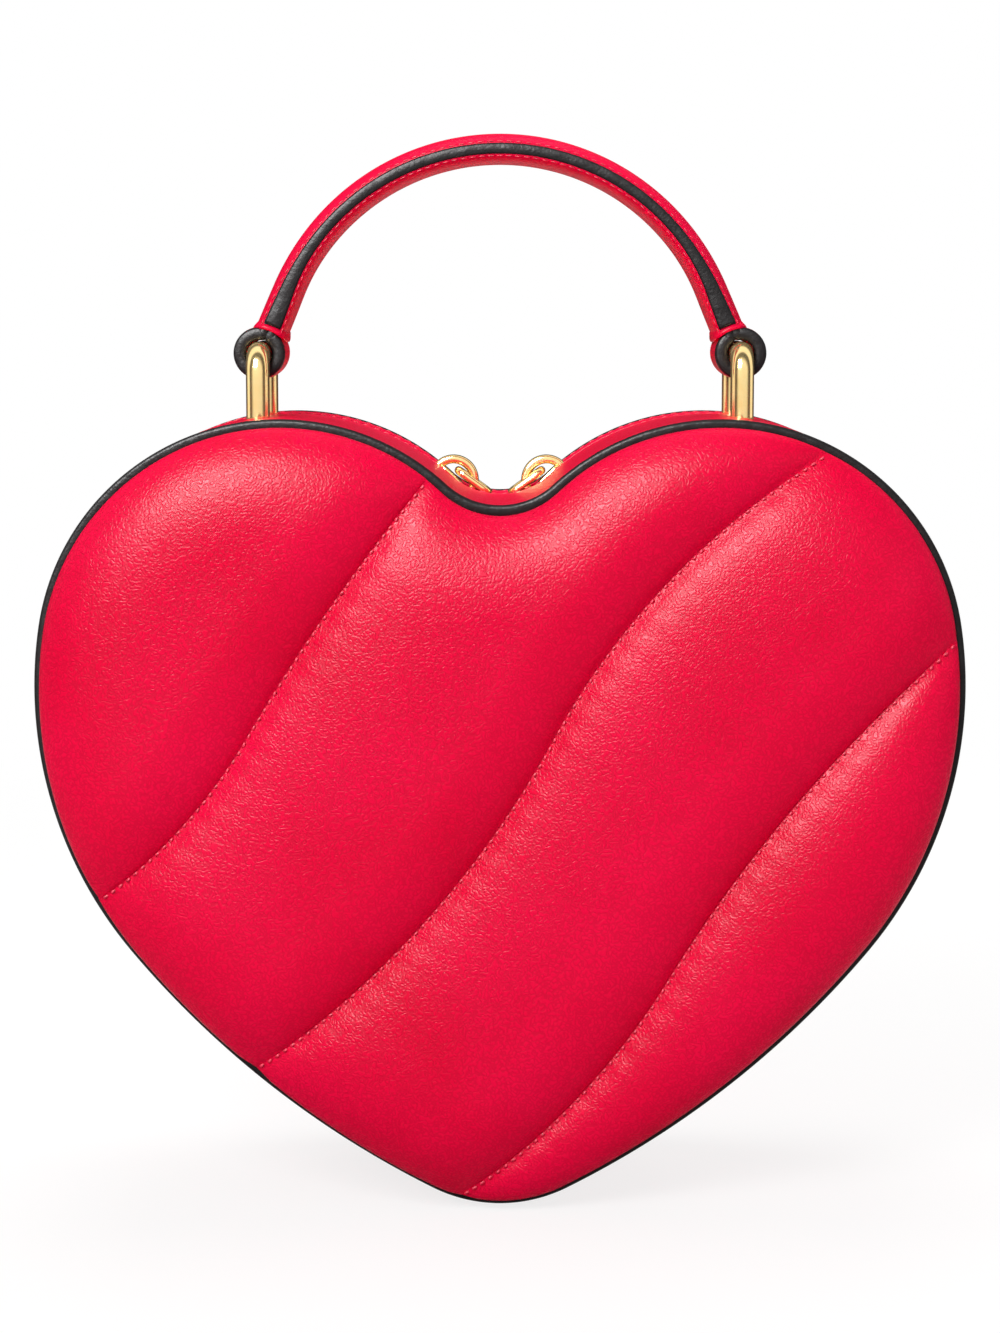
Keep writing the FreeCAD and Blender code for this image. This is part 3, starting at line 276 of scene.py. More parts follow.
def thread(name, shade, light):
    """Waxed polyester sewing thread, two plies laid together: satin, with painted shade as a dark line between
    the plies.
    """
    finish, tree, place = new_finish(name)
    plies_and_groove_shade = add(tree, "ShaderNodeTexWave", {"Vector": place, "Scale": 1 / 0.0035, "Distortion": 2.0})["Fac"]
    # Painted shade: the colour goes to the darker tone in the groove between the plies, and the same bands give
    # the bump.
    return coat(finish, tree, {"Base Color": two_tone(tree, plies_and_groove_shade, shade, light), "Roughness": 0.5,
                               "Normal": raised(tree, plies_and_groove_shade, 0.00005), "Specular IOR Level": 0.3})


RED_THREAD = thread("red_waxed_thread", "#c80a34", "#f03a5c")
DEEP_THREAD = thread("deep_red_waxed_thread", "#c4002c", "#e41844")
TOPSTITCH_PITCH = 3.0
TOPSTITCH_INSET = 0.55
TOPSTITCH_FROM_RIM = 2.0


def topstitch(name, y, body):
    """A row of stitches all round the side wall, at one depth."""
    count = int(ROUND / TOPSTITCH_PITCH)
    flat, normals = outline((np.arange(count) + 0.5) * ROUND / count)
    flat = flat - TOPSTITCH_INSET * normals
    level = np.zeros(count)
    middles = np.stack([flat[:, 0], level + y, flat[:, 1]], axis=-1)
    along = np.stack([-normals[:, 1], level, normals[:, 0]], axis=-1)
    out = np.stack([normals[:, 0], level, normals[:, 1]], axis=-1)
    stitch_row(name, middles, along, out, 2.2, 0.4, body, DEEP_THREAD)


topstitch("gusset_stitches", BODY_RIM - TOPSTITCH_FROM_RIM, "body")

# Black edges: the raw edges of the panel, board and gusset layers, sanded together and built up with coats of
# black edge paint into a rounded satin rim round the front and round the back.


def edge_paint():
    """Acrylic leather edge paint, brushed on in coats: near black, satin, a little wavy along the edge."""
    finish, tree, place = new_finish("black_edge_paint")
    coats = specks(tree, place, 0.004, 4.0)
    grit = specks(tree, place, 0.0007, 2.0)
    relief = add(tree, "ShaderNodeMath", {0: grit, 1: 0.25, 2: coats}, operation="MULTIPLY_ADD")["Value"]
    rough = add(tree, "ShaderNodeMapRange", {"Value": grit, "To Min": 0.32, "To Max": 0.5})["Result"]
    return coat(finish, tree, {"Base Color": two_tone(tree, coats, "#121011", "#252223"), "Roughness": rough,
                               "Normal": raised(tree, relief, 0.0003), "IOR": 1.5, "Specular IOR Level": 0.13})


BLACK_EDGE = edge_paint()
EDGE_REACH = 4.6
EDGE_ROUND = 0.95
BACK_SEAM = 33.8
BACK_FACE = 36.2


def painted_edge(name, seam, face, sunk, body, node):
    """The rim's section, a bar with its two outer corners rounded, carried round the heart a little sunk."""
    out = np.sign(face - seam)
    bend = np.linspace(0.0, np.pi / 2, 6)
    front = np.stack([EDGE_ROUND * (1 - np.sin(bend)), face - out * EDGE_ROUND * (1 - np.cos(bend))], axis=-1)
    rear = np.stack([EDGE_ROUND * (1 - np.cos(bend)), seam + out * EDGE_ROUND * (1 - np.sin(bend))], axis=-1)
    rear = rear[np.argsort(-out * rear[:, 1])]
    inner = np.array([[EDGE_REACH, seam], [EDGE_REACH, face]])
    points = band(AROUND, np.concatenate([front, rear, inner]) + np.array([sunk, 0.0]))
    piece = new_piece(name, points, quads(*points.shape[:2], True, True), body, "black_edge", [BLACK_EDGE])
    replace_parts(piece, node)


painted_edge("front_black_edge", FRONT_SEAM, FRONT_FACE, 0.0, "body", "front_edge")
painted_edge("back_black_edge", BACK_SEAM, BACK_FACE, 0.3, "lid", "back_edge")

# Front panel: red calf over thick wadding, sewn down to the board along three slanting S seams, so that it
# swells into four soft channels and rolls down to the black edge all round.
# Each seam's upper end, middle and lower end, from the middle between the lobes' centres, as shares of half the
# heart's width, and its heading at the middle, in degrees.
SEAM_HALF = HEART_WIDTH / 2
SEAM_OVERRUN = 16.0
SEAM_ENDS = (
    ((-0.173, 0.379), (-0.543, -0.153), (-0.852, -0.497), -120.5),
    ((0.697, 0.457), (0.114, -0.152), (-0.516, -0.867), -118.2),
    ((0.967, 0.047), (0.361, -0.677), (-0.075, -1.153), -120.9),
)


def arc_from(middle, heading, end):
    """Points of the arc that leaves a middle with a heading and passes through an end, and runs on past it."""
    ahead = np.array([np.cos(heading), np.sin(heading)])
    side = np.array([-ahead[1], ahead[0]])
    chord = end - middle
    bend = 2 * (chord @ side) / (chord @ chord)
    sweep = 2 * np.arctan2(chord @ side, chord @ ahead)
    length = sweep / bend
    turn = bend * np.linspace(0.0, length + SEAM_OVERRUN, 400)[:, None]
    return middle + np.sin(turn) / bend * ahead + (1 - np.cos(turn)) / bend * side


def seam_line(upper, middle, lower, heading):
    """One seam from its lower left end to its upper right: two arcs that meet at its middle on one heading."""
    ends = [np.array(place) * SEAM_HALF + [0.0, LOBE_LEVEL] for place in (upper, middle, lower)]
    down = arc_from(ends[1], np.radians(heading), ends[2])
    rise = arc_from(ends[1], np.radians(heading) + np.pi, ends[0])
    return np.concatenate([down[::-1], rise[1:]])


EDGE_WAY = np.arange(0.0, ROUND, 0.5)
EDGE_POINTS, EDGE_NORMALS = outline(EDGE_WAY)


def nearest(points, line, normals):
    """For each point, the number of a line's nearest point and the signed distance along the normal there."""
    found = np.empty(len(points), dtype=int)
    level = (line ** 2).sum(axis=1) / 2
    for start in range(0, len(points), 4000):
        found[start:start + 4000] = np.argmin(level - points[start:start + 4000] @ line.T, axis=1)
    return found, ((points - line[found]) * normals[found]).sum(axis=-1)


def panel_inset(way):
    """How far the panel's edge lies in from the black rim's, in mm: more along the top, most in the cleft.

    inset = 1.75 + 0.35 * normal z + 0.55 * exp(-(way from the cleft / 16)^2)
    """
    from_cleft = np.mod(way, ROUND) - HALF_WAY
    return 1.75 + 0.35 * outline(way)[1][:, 1] + 0.55 * np.exp(-(from_cleft / 16.0) ** 2)


EDGE_INSET = panel_inset(EDGE_WAY)


def cut_to_panel(line):
    """A seam cut off where it meets the panel's edge, and the path lengths of the heart at its two ends."""
    found, reach = nearest(line, EDGE_POINTS, EDGE_NORMALS)
    inner = np.flatnonzero(reach < -EDGE_INSET[found])
    kept = slice(inner[0], inner[-1] + 1)
    return line[kept], EDGE_WAY[found[inner[0]]], EDGE_WAY[found[inner[-1]]]


def spread(line, shares):
    """Points at the given shares of a line's length."""
    length = np.concatenate([[0.0], np.cumsum(np.linalg.norm(np.diff(line, axis=0), axis=1))])
    return np.stack([np.interp(shares * length[-1], length, line[:, axis]) for axis in (0, 1)], axis=-1)


SEAMS = [seam_line(*ends) for ends in SEAM_ENDS]
CUTS = [cut_to_panel(line) for line in SEAMS]
SEAM_WAYS = np.array([[low, high] for line, low, high in CUTS])


def panel_edge(way):
    """The panel's edge on the black rim, drawn in where each seam ends: inset + draw * exp(-(gap / 6)^2)."""
    gap = np.abs(np.mod(way, ROUND)[:, None] - SEAM_WAYS.ravel()[None, :])
    gap = np.minimum(gap, ROUND - gap)
    draw = np.tile([0.9, 0.25], 3)
    inset = panel_inset(way) + (draw * np.exp(-(gap / 6.0) ** 2)).sum(axis=1)
    points, normals = outline(way)
    return points - inset[:, None] * normals


def graded(count):
    """Shares from 0 to 1, closer together at both ends: a mean of even steps and of half a cosine wave."""
    even = np.linspace(0.0, 1.0, count)
    return 0.55 * even + 0.45 * (1 - np.cos(np.pi * even)) / 2


ALONG = graded(310)
ACROSS = graded(62)
low = SEAM_WAYS[:, 0]
high = SEAM_WAYS[:, 1]
edge_first = panel_edge(low[0] - (low[0] - high[0]) * ALONG)
edge_last = panel_edge(low[2] - ROUND + (high[2] - low[2] + ROUND) * ALONG)
rows = [edge_first]
for line, start, stop in CUTS:
    ends = panel_edge(np.array([start, stop]))
    rows.append(spread(np.concatenate([ends[:1], line[3:-3], ends[1:]]), ALONG))
rows.append(edge_last)


def channel(near, far, side_a, side_b):
    """The flat shape of one channel: a grid stretched between two long rows and the two short sides."""
    u = ALONG[None, :, None]
    v = ACROSS[:, None, None]
    corners = ((1 - v) * ((1 - u) * near[0] + u * near[-1]) + v * ((1 - u) * far[0] + u * far[-1]))
    return (1 - v) * near[None] + v * far[None] + (1 - u) * side_a[:, None] + u * side_b[:, None] - corners


def short_side(start, stop):
    """The stretch of the panel's edge between the ends of two seams."""
    gap = np.mod(stop - start + HALF_WAY, ROUND) - HALF_WAY
    return panel_edge(start + gap * ACROSS)


flat = [
    channel(rows[0], rows[1], rows[1][:1].repeat(len(ACROSS), axis=0), rows[1][-1:].repeat(len(ACROSS), axis=0)),
    channel(rows[1], rows[2], short_side(low[0], low[1]), short_side(high[0], high[1])),
    channel(rows[2], rows[3], short_side(low[1], low[2]), short_side(high[1], high[2])),
    channel(rows[3], rows[4], rows[3][:1].repeat(len(ACROSS), axis=0), rows[3][-1:].repeat(len(ACROSS), axis=0)),
]

SEAM_HEIGHT = 5.6
PUFF = 7.0
ROLL = 27.0
LIP = 1.4
LIP_ROUND = 1.0
UPPER_FLANK = (32.0, 0.56)
LOWER_FLANK = (19.0, 0.72)
PUCKER = 0.1
PUCKER_FADE = 5.0
SIDE_SWELL_IN = 0.9
RIM_SUNK = 0.3


def seam_gap(points, line):
    """Distance from a seam, square to it."""
    ahead = unit(np.gradient(line, axis=0))
    return np.abs(nearest(points, line, np.stack([-ahead[:, 1], ahead[:, 0]], axis=-1))[1])


def rise(gap, width, power):
    """Half an arch up from a seam: (1 - (1 - gap / width)^2)^power, level past its width."""
    return (1 - (1 - np.clip(gap / width, 0.0, 1.0)) ** 2) ** power


def roll_at(edge, roll):
    """Share of the full height at a distance from the panel's edge: (1 - (1 - edge / roll)^2.2)^0.5."""
    return np.sqrt(1 - (1 - np.clip(edge / roll, 0.0, 1.0)) ** 2.2)


def swell(number, grid):
    """Points of one channel's leather. Its height over the black edge is the roll at the panel's edge times the
    sum of the seams' height, the puff and the puckers.

    The puff falls steeply to the seam at the channel's lower right. It rises slowly from its upper left seam,
    past a flat lip where the seam's turnings lie. Small puckers run square to the seams and die out 5 mm away.
    Close to the black edge the side swells outwards by 0.5 mm, and by 0.75 at the lower left and 0.25 at the
    lower right: shift = (0.5 + 0.3 * x * (z - 0.5)) * e * exp(1 - e), for a normal (x, z) and e = edge / 0.9.
    """
    points = grid.reshape(-1, 2)
    found, reach = nearest(points, EDGE_POINTS, EDGE_NORMALS)
    edge = np.clip(-reach - EDGE_INSET[found], 0.0, None)
    rim = np.zeros(grid.shape[:2], dtype=bool)
    rim[:, [0, -1]] = True
    rim[0] |= number == 0
    rim[-1] |= number == 3
    edge[rim.ravel()] = 0.0
    puff = np.ones(len(points))
    near = np.full(len(points), np.inf)
    if number > 0:
        gap = seam_gap(points, SEAMS[number - 1])
        past = gap - LIP
        past_lip = (past + np.hypot(past, LIP_ROUND) - np.hypot(LIP, LIP_ROUND) + LIP) / 2
        puff *= rise(past_lip, *UPPER_FLANK)
        near = np.minimum(near, gap)
    if number < 3:
        gap = seam_gap(points, SEAMS[number])
        puff *= rise(gap, *LOWER_FLANK)
        near = np.minimum(near, gap)
    wave = np.sin(points @ np.array([0.49, 0.87]) * 0.84)
    pucker = PUCKER * np.exp(-near / PUCKER_FADE) * np.clip(near, 0.0, 1.0) * wave
    height = roll_at(edge, ROLL) * (SEAM_HEIGHT + PUFF * puff + pucker) - RIM_SUNK * (edge == 0.0)
    facing = EDGE_NORMALS[found]
    depth_in = edge / SIDE_SWELL_IN
    shift = (0.5 + 0.3 * facing[:, 0] * (facing[:, 1] - 0.5)) * depth_in * np.exp(1 - depth_in)
    moved = points + facing * shift[:, None]
    return np.stack([moved[:, 0], FRONT_FACE - height, moved[:, 1]], axis=-1).reshape(*grid.shape[:2], 3)


sheets = [swell(number, grid) for number, grid in enumerate(flat)]
whole = np.concatenate([sheets[0]] + [sheet[1:] for sheet in sheets[1:]])
front_panel = new_piece("front_quilted_leather", whole, quads(*whole.shape[:2]), "body", "red_leather",
                        [RED_CALF], closed=False)
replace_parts(front_panel, "front_leather", "front_padding")

SEAM_PITCH = 2.5
SEAM_SIDE = 0.4
SEAM_LIFT = 0.45
for number, (line, start, stop) in enumerate(CUTS):
    fine = spread(line, np.linspace(0.0, 1.0, 400))
    length = np.linalg.norm(np.diff(fine, axis=0), axis=1).sum()
    count = int(length / SEAM_PITCH) - 1
    spots = spread(line, (np.arange(count) + 0.8) / (count + 0.6))
    ahead = unit(np.gradient(spots, axis=0))
    spots = spots + SEAM_SIDE * np.stack([ahead[:, 1], -ahead[:, 0]], axis=-1)
    found, reach = nearest(spots, EDGE_POINTS, EDGE_NORMALS)
    y = FRONT_FACE - roll_at(-reach - EDGE_INSET[found], ROLL) * SEAM_HEIGHT - SEAM_LIFT
    middles = np.stack([spots[:, 0], y, spots[:, 1]], axis=-1)
    along = unit(np.gradient(middles, axis=0))
    out = unit(np.array([0.0, -1.0, 0.0]) + along * along[:, 1:2])
    stitch_row("quilting_stitches_%d" % (number + 1), middles, along, out, 1.6, 0.7, "body", RED_THREAD)

# Back panel: the same red calf over thinner wadding, plain and unquilted, rolled down to the back's black edge.
HEART_MIDDLE = np.array([0.0, LOBE_LEVEL - 22.0])
BACK_CROWN = 7.0
BACK_ROLL = 24.0
BACK_INSET = 1.7
share = np.concatenate([np.linspace(0.0, 0.12, 22)[:-1], np.linspace(0.12, 1.0, 60)])
border, border_normals = outline(AROUND)
border = border - BACK_INSET * border_normals
spokes = border[:, None, :] + share[None, :, None] * (HEART_MIDDLE - border)[:, None, :]
spot, reach = nearest(spokes.reshape(-1, 2), EDGE_POINTS, EDGE_NORMALS)
edge = np.clip(-reach - BACK_INSET, 0.0, None)
depth = (BACK_FACE + BACK_CROWN * roll_at(edge, BACK_ROLL)).reshape(spokes.shape[:2])
depth[:, 0] -= RIM_SUNK
points = np.stack([spokes[..., 0], depth, spokes[..., 1]], axis=-1)
faces = quads(*points.shape[:2], True)[:, ::-1]
back_panel = new_piece("back_leather_panel", points, faces, "lid", "red_leather", [RED_CALF], closed=False)
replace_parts(back_panel, "back_leather", "back_padding")

# Rear strip of gusset on the lid: a narrow turned strip of the same leather between the zip and the back edge.
LID_RIM = 29.2
STRIP_BELLY = 0.15
strip = np.array([[WALL_INSET, BACK_SEAM], [WALL_INSET - STRIP_BELLY, (BACK_SEAM + LID_RIM) / 2]])
lid_rim = np.stack([WALL_INSET + LEATHER / 2 * (1 - np.cos(turn_in)),
                    LID_RIM + LEATHER / 2 - LEATHER / 2 * np.sin(turn_in)], axis=-1)
points = band(AROUND, np.concatenate([strip, lid_rim, [[WALL_INSET + LEATHER, BACK_SEAM]]]))
lid_gusset = new_piece("lid_gusset_leather", points, quads(*points.shape[:2], True, True), "lid", "red_leather",
                       [SMOOTH_CALF])
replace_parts(lid_gusset, "lid_gusset")
topstitch("lid_gusset_stitches", LID_RIM + TOPSTITCH_FROM_RIM, "lid")

# Zip: two woven red tapes sewn under the leather rims, each with a row of stamped metal teeth that interlock.
BODY_SEAT = 18.4
LID_SEAT = 31.5
ZIP_LINE = 25.0
TAPE_OUTER = 2.2
TAPE_THICK = 0.6
BODY_TAPE_END = 22.9
LID_TAPE_END = 27.1


def zip_tape():
    """Woven polyester zip tape: matt, with slanting ribs 0.7 mm apart and a thread's sheen."""
    finish, tree, place = new_finish("red_woven_zip_tape")
    ribs = add(tree, "ShaderNodeTexWave", {"Vector": place, "Scale": 0.5 / 0.0011, "Distortion": 1.5,
                                           "Detail": 1.0}, bands_direction="DIAGONAL")["Fac"]
    return coat(finish, tree, {"Base Color": two_tone(tree, ribs, "#a80028", "#cf0436"), "Roughness": 0.8,
                               "Normal": raised(tree, ribs, 0.00015), "Sheen Weight": 0.15})


ZIP_TAPE = zip_tape()
TIP_SPAN = ARC_STARTS[1]
TAPED_WAY = np.linspace(TIP_SPAN, ROUND - TIP_SPAN, 860)


def woven_tape(name, start, stop, body, node):
    """A flat strip's section carried along the heart, with its ends closed."""
    section = np.array([[TAPE_OUTER, start], [TAPE_OUTER, stop],
                        [TAPE_OUTER + TAPE_THICK, stop], [TAPE_OUTER + TAPE_THICK, start]])
    far = 4 * (len(TAPED_WAY) - 1)
    caps = [[0, 1, 2, 3], [far, far + 3, far + 2, far + 1]]
    faces = np.concatenate([quads(len(TAPED_WAY), 4, False, True), caps])
    piece = new_piece(name, band(TAPED_WAY, section), faces, body, "zip_tape", [ZIP_TAPE])
    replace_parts(piece, node)


woven_tape("body_zip_tape", BODY_SEAT, BODY_TAPE_END, "body", "body_tape")
woven_tape("lid_zip_tape", LID_TAPE_END, LID_SEAT, "lid", "lid_tape")


def polished_gold():
    """Brass plated with pale gold, polished and lacquered: mirror bright, with a faint haze in the lacquer."""
    finish, tree, place = new_finish("polished_gold_plate")
    haze = specks(tree, place, 0.003, 3.0)
    rough = add(tree, "ShaderNodeMapRange", {"Value": haze, "To Min": 0.07, "To Max": 0.16})["Result"]
    return coat(finish, tree, {"Base Color": two_tone(tree, haze, "#efca80", "#f8e0a4"), "Metallic": 0.85,
                               "Roughness": rough})


GOLD = polished_gold()
TOOTH_PITCH = 2.5
TOOTH_LENGTH = 1.15
TOOTH_REACH = 1.95
TOOTH_SEAT = 0.1
TEETH_MIDDLE = TAPE_OUTER + TAPE_THICK / 2


def tooth_row(name, root, way_in, phase, body, node):
    """Teeth along the zip: each a block, rounded where it meets the other row, as a grid of four sides by five
    rings from its root on the tape to its nose, thinner and shorter at the nose."""
    span = ARC_STARTS[4] - ARC_STARTS[1]
    count = int(span / TOOTH_PITCH)
    half = ARC_STARTS[1] + (np.arange(count) + phase) * span / count
    way = np.concatenate([half, ROUND - half])
    flat, normals = outline(way)
    rings = np.array([0.0, 0.25, 0.7, 0.92, 1.0])
    long = np.array([0.8, 1.0, 1.0, 0.8, 0.45]) * TOOTH_LENGTH / 2
    thick = np.array([1.1, 1.25, 1.15, 0.95, 0.6])
    corner = np.array([[-1, -1], [1, -1], [1, 1], [-1, 1]])
    step = long[:, None] * corner[None, :, 0]
    inset = TEETH_MIDDLE + thick[:, None] * corner[None, :, 1]
    y = root + way_in * rings[:, None] * TOOTH_REACH + np.zeros((1, 4))
    tangent = np.stack([-normals[:, 1], normals[:, 0]], axis=-1)
    spot = (flat[:, None, None, :] + step[None, :, :, None] * tangent[:, None, None, :]
            - inset[None, :, :, None] * normals[:, None, None, :])
    depth = np.broadcast_to(y[None], spot.shape[:3])
    points = np.stack([spot[..., 0], depth, spot[..., 1]], axis=-1)
    one = np.concatenate([quads(5, 4, False, True), [[0, 1, 2, 3], [19, 18, 17, 16]]])
    piece = new_piece(name, points, copies(one, 20, len(way)), body, "gold", [GOLD])
    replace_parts(piece, node)


tooth_row("body_zip_teeth", BODY_TAPE_END - TOOTH_SEAT, 1.0, 0.25, "body", "body_teeth")
tooth_row("lid_zip_teeth", LID_TAPE_END + TOOTH_SEAT, -1.0, 0.75, "lid", "lid_teeth")

# Hinge at the tip: a strip of the gusset's own leather left uncut across the zip, so that the lid turns on it.
HINGE_INSET = 0.65
HINGE_UNDER_RIM = 0.6
HINGE_STEPS = 60
hinge_way = np.linspace(-TIP_SPAN, TIP_SPAN, HINGE_STEPS)
hinge_y = np.linspace(BODY_RIM - HINGE_UNDER_RIM, LID_RIM + HINGE_UNDER_RIM, 13)
outer_side = np.stack([np.full(13, HINGE_INSET), hinge_y], axis=-1)
inner_side = np.stack([np.full(13, HINGE_INSET + LEATHER), hinge_y[::-1]], axis=-1)
points = band(hinge_way, np.concatenate([outer_side, inner_side]))
step = np.arange(12)
cap = np.stack([step, step + 1, 24 - step, 25 - step], axis=-1)
faces = np.concatenate([quads(HINGE_STEPS, 26, False, True), cap, cap[:, ::-1] + (HINGE_STEPS - 1) * 26])
tip_hinge = new_piece("tip_leather_hinge", points, faces, None, "red_leather", [SMOOTH_CALF])
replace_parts(tip_hinge, "tip_hinge")
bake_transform(tip_hinge)

# Zip sliders: cast brass plates above and below the teeth with a post between them, and a thick flattened
# crown loop on top. They are plated and polished, and meet in the cleft when the zip is shut.
SLIDER_TURN = np.radians(43.9244)
UPPER_PLATE = 61.647
LOWER_PLATE = 57.347
POST_MIDDLE = 59.222
CROWN_FOOT = 61.545
CROWN_LONG = 5.6
CROWN_TALL = 5.0
CROWN_LEAD = 0.9
CROWN_BAND = 2.5
CROWN_WIDTH = 3.4
PLATE_HALF = (4.3, 3.9, 0.55)
POST_HALF = (1.2, 0.18, 2.6)
BACKWARDS = np.array([[0.0, 1.0, 0.0]])


def rounded_block(middle, half, power):
    """A block with rounded edges, as a superellipsoid: half sizes times signed powers of sines and cosines."""
    north = np.linspace(-np.pi / 2, np.pi / 2, 15)[:, None]
    east = np.linspace(0.0, 2 * np.pi, 28, endpoint=False)[None, :]

    def bent(value):
        return np.sign(value) * np.abs(value) ** power

    points = np.stack([bent(np.cos(north)) * bent(np.cos(east)), bent(np.cos(north)) * bent(np.sin(east)),
                       bent(np.sin(north)) + 0 * east], axis=-1)
    return points * np.array(half) + np.array(middle), quads(15, 28, False, True)


def tube(path, across, up, section):
    """A section of (across, up) pairs carried along a path: point = path + a * across + b * up."""
    points = (path[:, None, :] + section[None, :, 0, None] * across[:, None, :]
              + section[None, :, 1, None] * up[:, None, :])
    return points, quads(len(path), len(section), False, True)


def oval(width, height, power, count):
    """A rounded section: half sizes times signed powers of cosine and sine, a circle at 1 and a bar at 0.3."""
    turn = np.linspace(0.0, 2 * np.pi, count, endpoint=False)
    return np.stack([width / 2 * np.sign(np.cos(turn)) * np.abs(np.cos(turn)) ** power,
                     height / 2 * np.sign(np.sin(turn)) * np.abs(np.sin(turn)) ** power], axis=-1)


def capped(points):
    """A tube's points with both ends drawn in to their middles, and its faces."""
    ends = points[[0, -1]].mean(axis=1, keepdims=True).repeat(points.shape[1], axis=1)
    closed = np.concatenate([ends[:1], points, ends[1:]])
    return closed, quads(*closed.shape[:2], False, True)


def joined(shapes):
    """The points and faces of several shapes as one mesh."""
    starts = np.cumsum([0] + [len(points.reshape(-1, 3)) for points, faces in shapes])
    points = np.concatenate([points.reshape(-1, 3) for points, faces in shapes])
    faces = np.concatenate([faces + start for (points, faces), start in zip(shapes, starts)])
    return points, faces


def zip_slider(name, hand, body, node):
    """The slider in its own axes, along the zip, across it and out from the lobe's centre, set on the lobe."""
    shapes = [
        rounded_block((0, 0, UPPER_PLATE), PLATE_HALF, 0.35),
        rounded_block((0, 0, LOWER_PLATE), PLATE_HALF, 0.35),
        rounded_block((0, 0, POST_MIDDLE), POST_HALF, 0.4),
    ]
    turn = np.linspace(-0.12, np.pi + 0.12, 40)
    level = np.zeros(40)
    path = np.stack([CROWN_LONG * np.cos(turn) - hand * CROWN_LEAD, level,
                     CROWN_FOOT + CROWN_TALL * np.sin(turn)], axis=-1)
    spoke = unit(np.stack([np.cos(turn) / CROWN_LONG, level, np.sin(turn) / CROWN_TALL], axis=-1))
    shapes.append(tube(path, BACKWARDS, spoke, oval(CROWN_WIDTH, CROWN_BAND, 0.7, 20)))
    points, faces = joined(shapes)
    points[:, 2] -= points[:, 0] ** 2 / (2 * LOBE_RADIUS)
    lean = SLIDER_TURN * hand
    x = points[:, 0] * np.cos(lean) - points[:, 2] * np.sin(lean) + LOBE_X * hand
    z = points[:, 0] * np.sin(lean) + points[:, 2] * np.cos(lean) + LOBE_LEVEL
    placed = np.stack([x, points[:, 1] + ZIP_LINE, z], axis=-1)
    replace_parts(new_piece(name, placed, faces, body, "gold", [GOLD]), node)


zip_slider("left_zip_slider", -1, "left_slider", "slider_left")
zip_slider("right_zip_slider", 1, "right_slider", "slider_right")

# Zip pulls: a rounded oblong of bright round wire through each crown, lying down the slope into the cleft.
PULL_X = 11.2495
PULL_Z = -81.0955
PULL_LENGTH = 10.0636
PULL_WIDTH = 6.2
PULL_WIRE = 2.1
PULL_LEAN = np.radians(35.9244)


def rounded_oblong(length, width, corner, steps):
    """A closed path round a flat oblong: four quarter circles at its corners, joined by straights."""
    turn = np.linspace(0.0, np.pi / 2, steps)
    path = []
    for number, (x, y) in enumerate(((length - corner, width / 2 - corner), (corner, width / 2 - corner),
                                     (corner, corner - width / 2), (length - corner, corner - width / 2))):
        angle = turn + number * np.pi / 2
        path.append(np.stack([x + corner * np.cos(angle), y + corner * np.sin(angle)], axis=-1))
    return np.concatenate(path)


def zip_pull(name, hand, body, node):
    """Round wire along the oblong, tilted down towards the cleft from its bar in the crown."""
    ring = rounded_oblong(PULL_LENGTH, PULL_WIDTH, PULL_WIRE, 9)
    ahead = np.roll(ring, -1, axis=0) - np.roll(ring, 1, axis=0)
    side = unit(np.stack([ahead[:, 1], -ahead[:, 0]], axis=-1))
    run = np.array([[-hand * np.cos(PULL_LEAN), 0.0, -np.sin(PULL_LEAN)]])
    path = np.array([hand * PULL_X, ZIP_LINE, PULL_Z]) + ring[:, :1] * run + ring[:, 1:] * BACKWARDS
    across = side[:, :1] * run + side[:, 1:] * BACKWARDS
    points = tube(path, across, np.cross(run, BACKWARDS), oval(PULL_WIRE, PULL_WIRE, 1.0, 14))[0]
    faces = quads(len(path), 14, True, True)
    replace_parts(new_piece(name, points, faces, body, "gold", [GOLD]), node)


zip_pull("left_zip_pull", -1, "left_pull", "pull_left")
zip_pull("right_zip_pull", 1, "right_pull", "pull_right")

# Arches: 6.1 mm round brass bar bent to an inverted U, plated gold and polished. Each stands on the gusset by
# two legs, screwed from inside through a backing plate, and the handle's loop swings on its bar.
ARCH_X = 62.2368
ARCH_BAR_Z = -48.9766
ARCH_FOOT_Z = -67.1766
ARCH_WIRE = 6.1
ARCH_HALF = 15.0
ARCH_CORNER = 4.5


def metal_arch(name, hand, node):
    """A circle carried up one leg, round two quarter bends and down the other leg, closed at both feet."""
    leg = np.linspace(ARCH_FOOT_Z, ARCH_BAR_Z - ARCH_CORNER, 8)[:-1]
    bend = np.linspace(0.0, np.pi / 2, 14)
    rise_y = np.concatenate([np.full(7, -ARCH_HALF), ARCH_CORNER * (1 - np.cos(bend)) - ARCH_HALF])
    rise_z = np.concatenate([leg, ARCH_BAR_Z - ARCH_CORNER * (1 - np.sin(bend))])
    y = np.concatenate([rise_y, -rise_y[::-1]])
    z = np.concatenate([rise_z, rise_z[::-1]])
    path = np.stack([np.full(len(y), hand * ARCH_X), y, z], axis=-1)
    sideways = np.array([[1.0, 0.0, 0.0]])
    up = np.cross(unit(np.gradient(path, axis=0)), sideways)
    points = tube(path, sideways, up, oval(ARCH_WIRE, ARCH_WIRE, 1.0, 36))[0]
    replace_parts(new_piece(name, *capped(points), "body", "gold", [GOLD]), node)


metal_arch("left_arch", -1, "arch_left")
metal_arch("right_arch", 1, "arch_right")

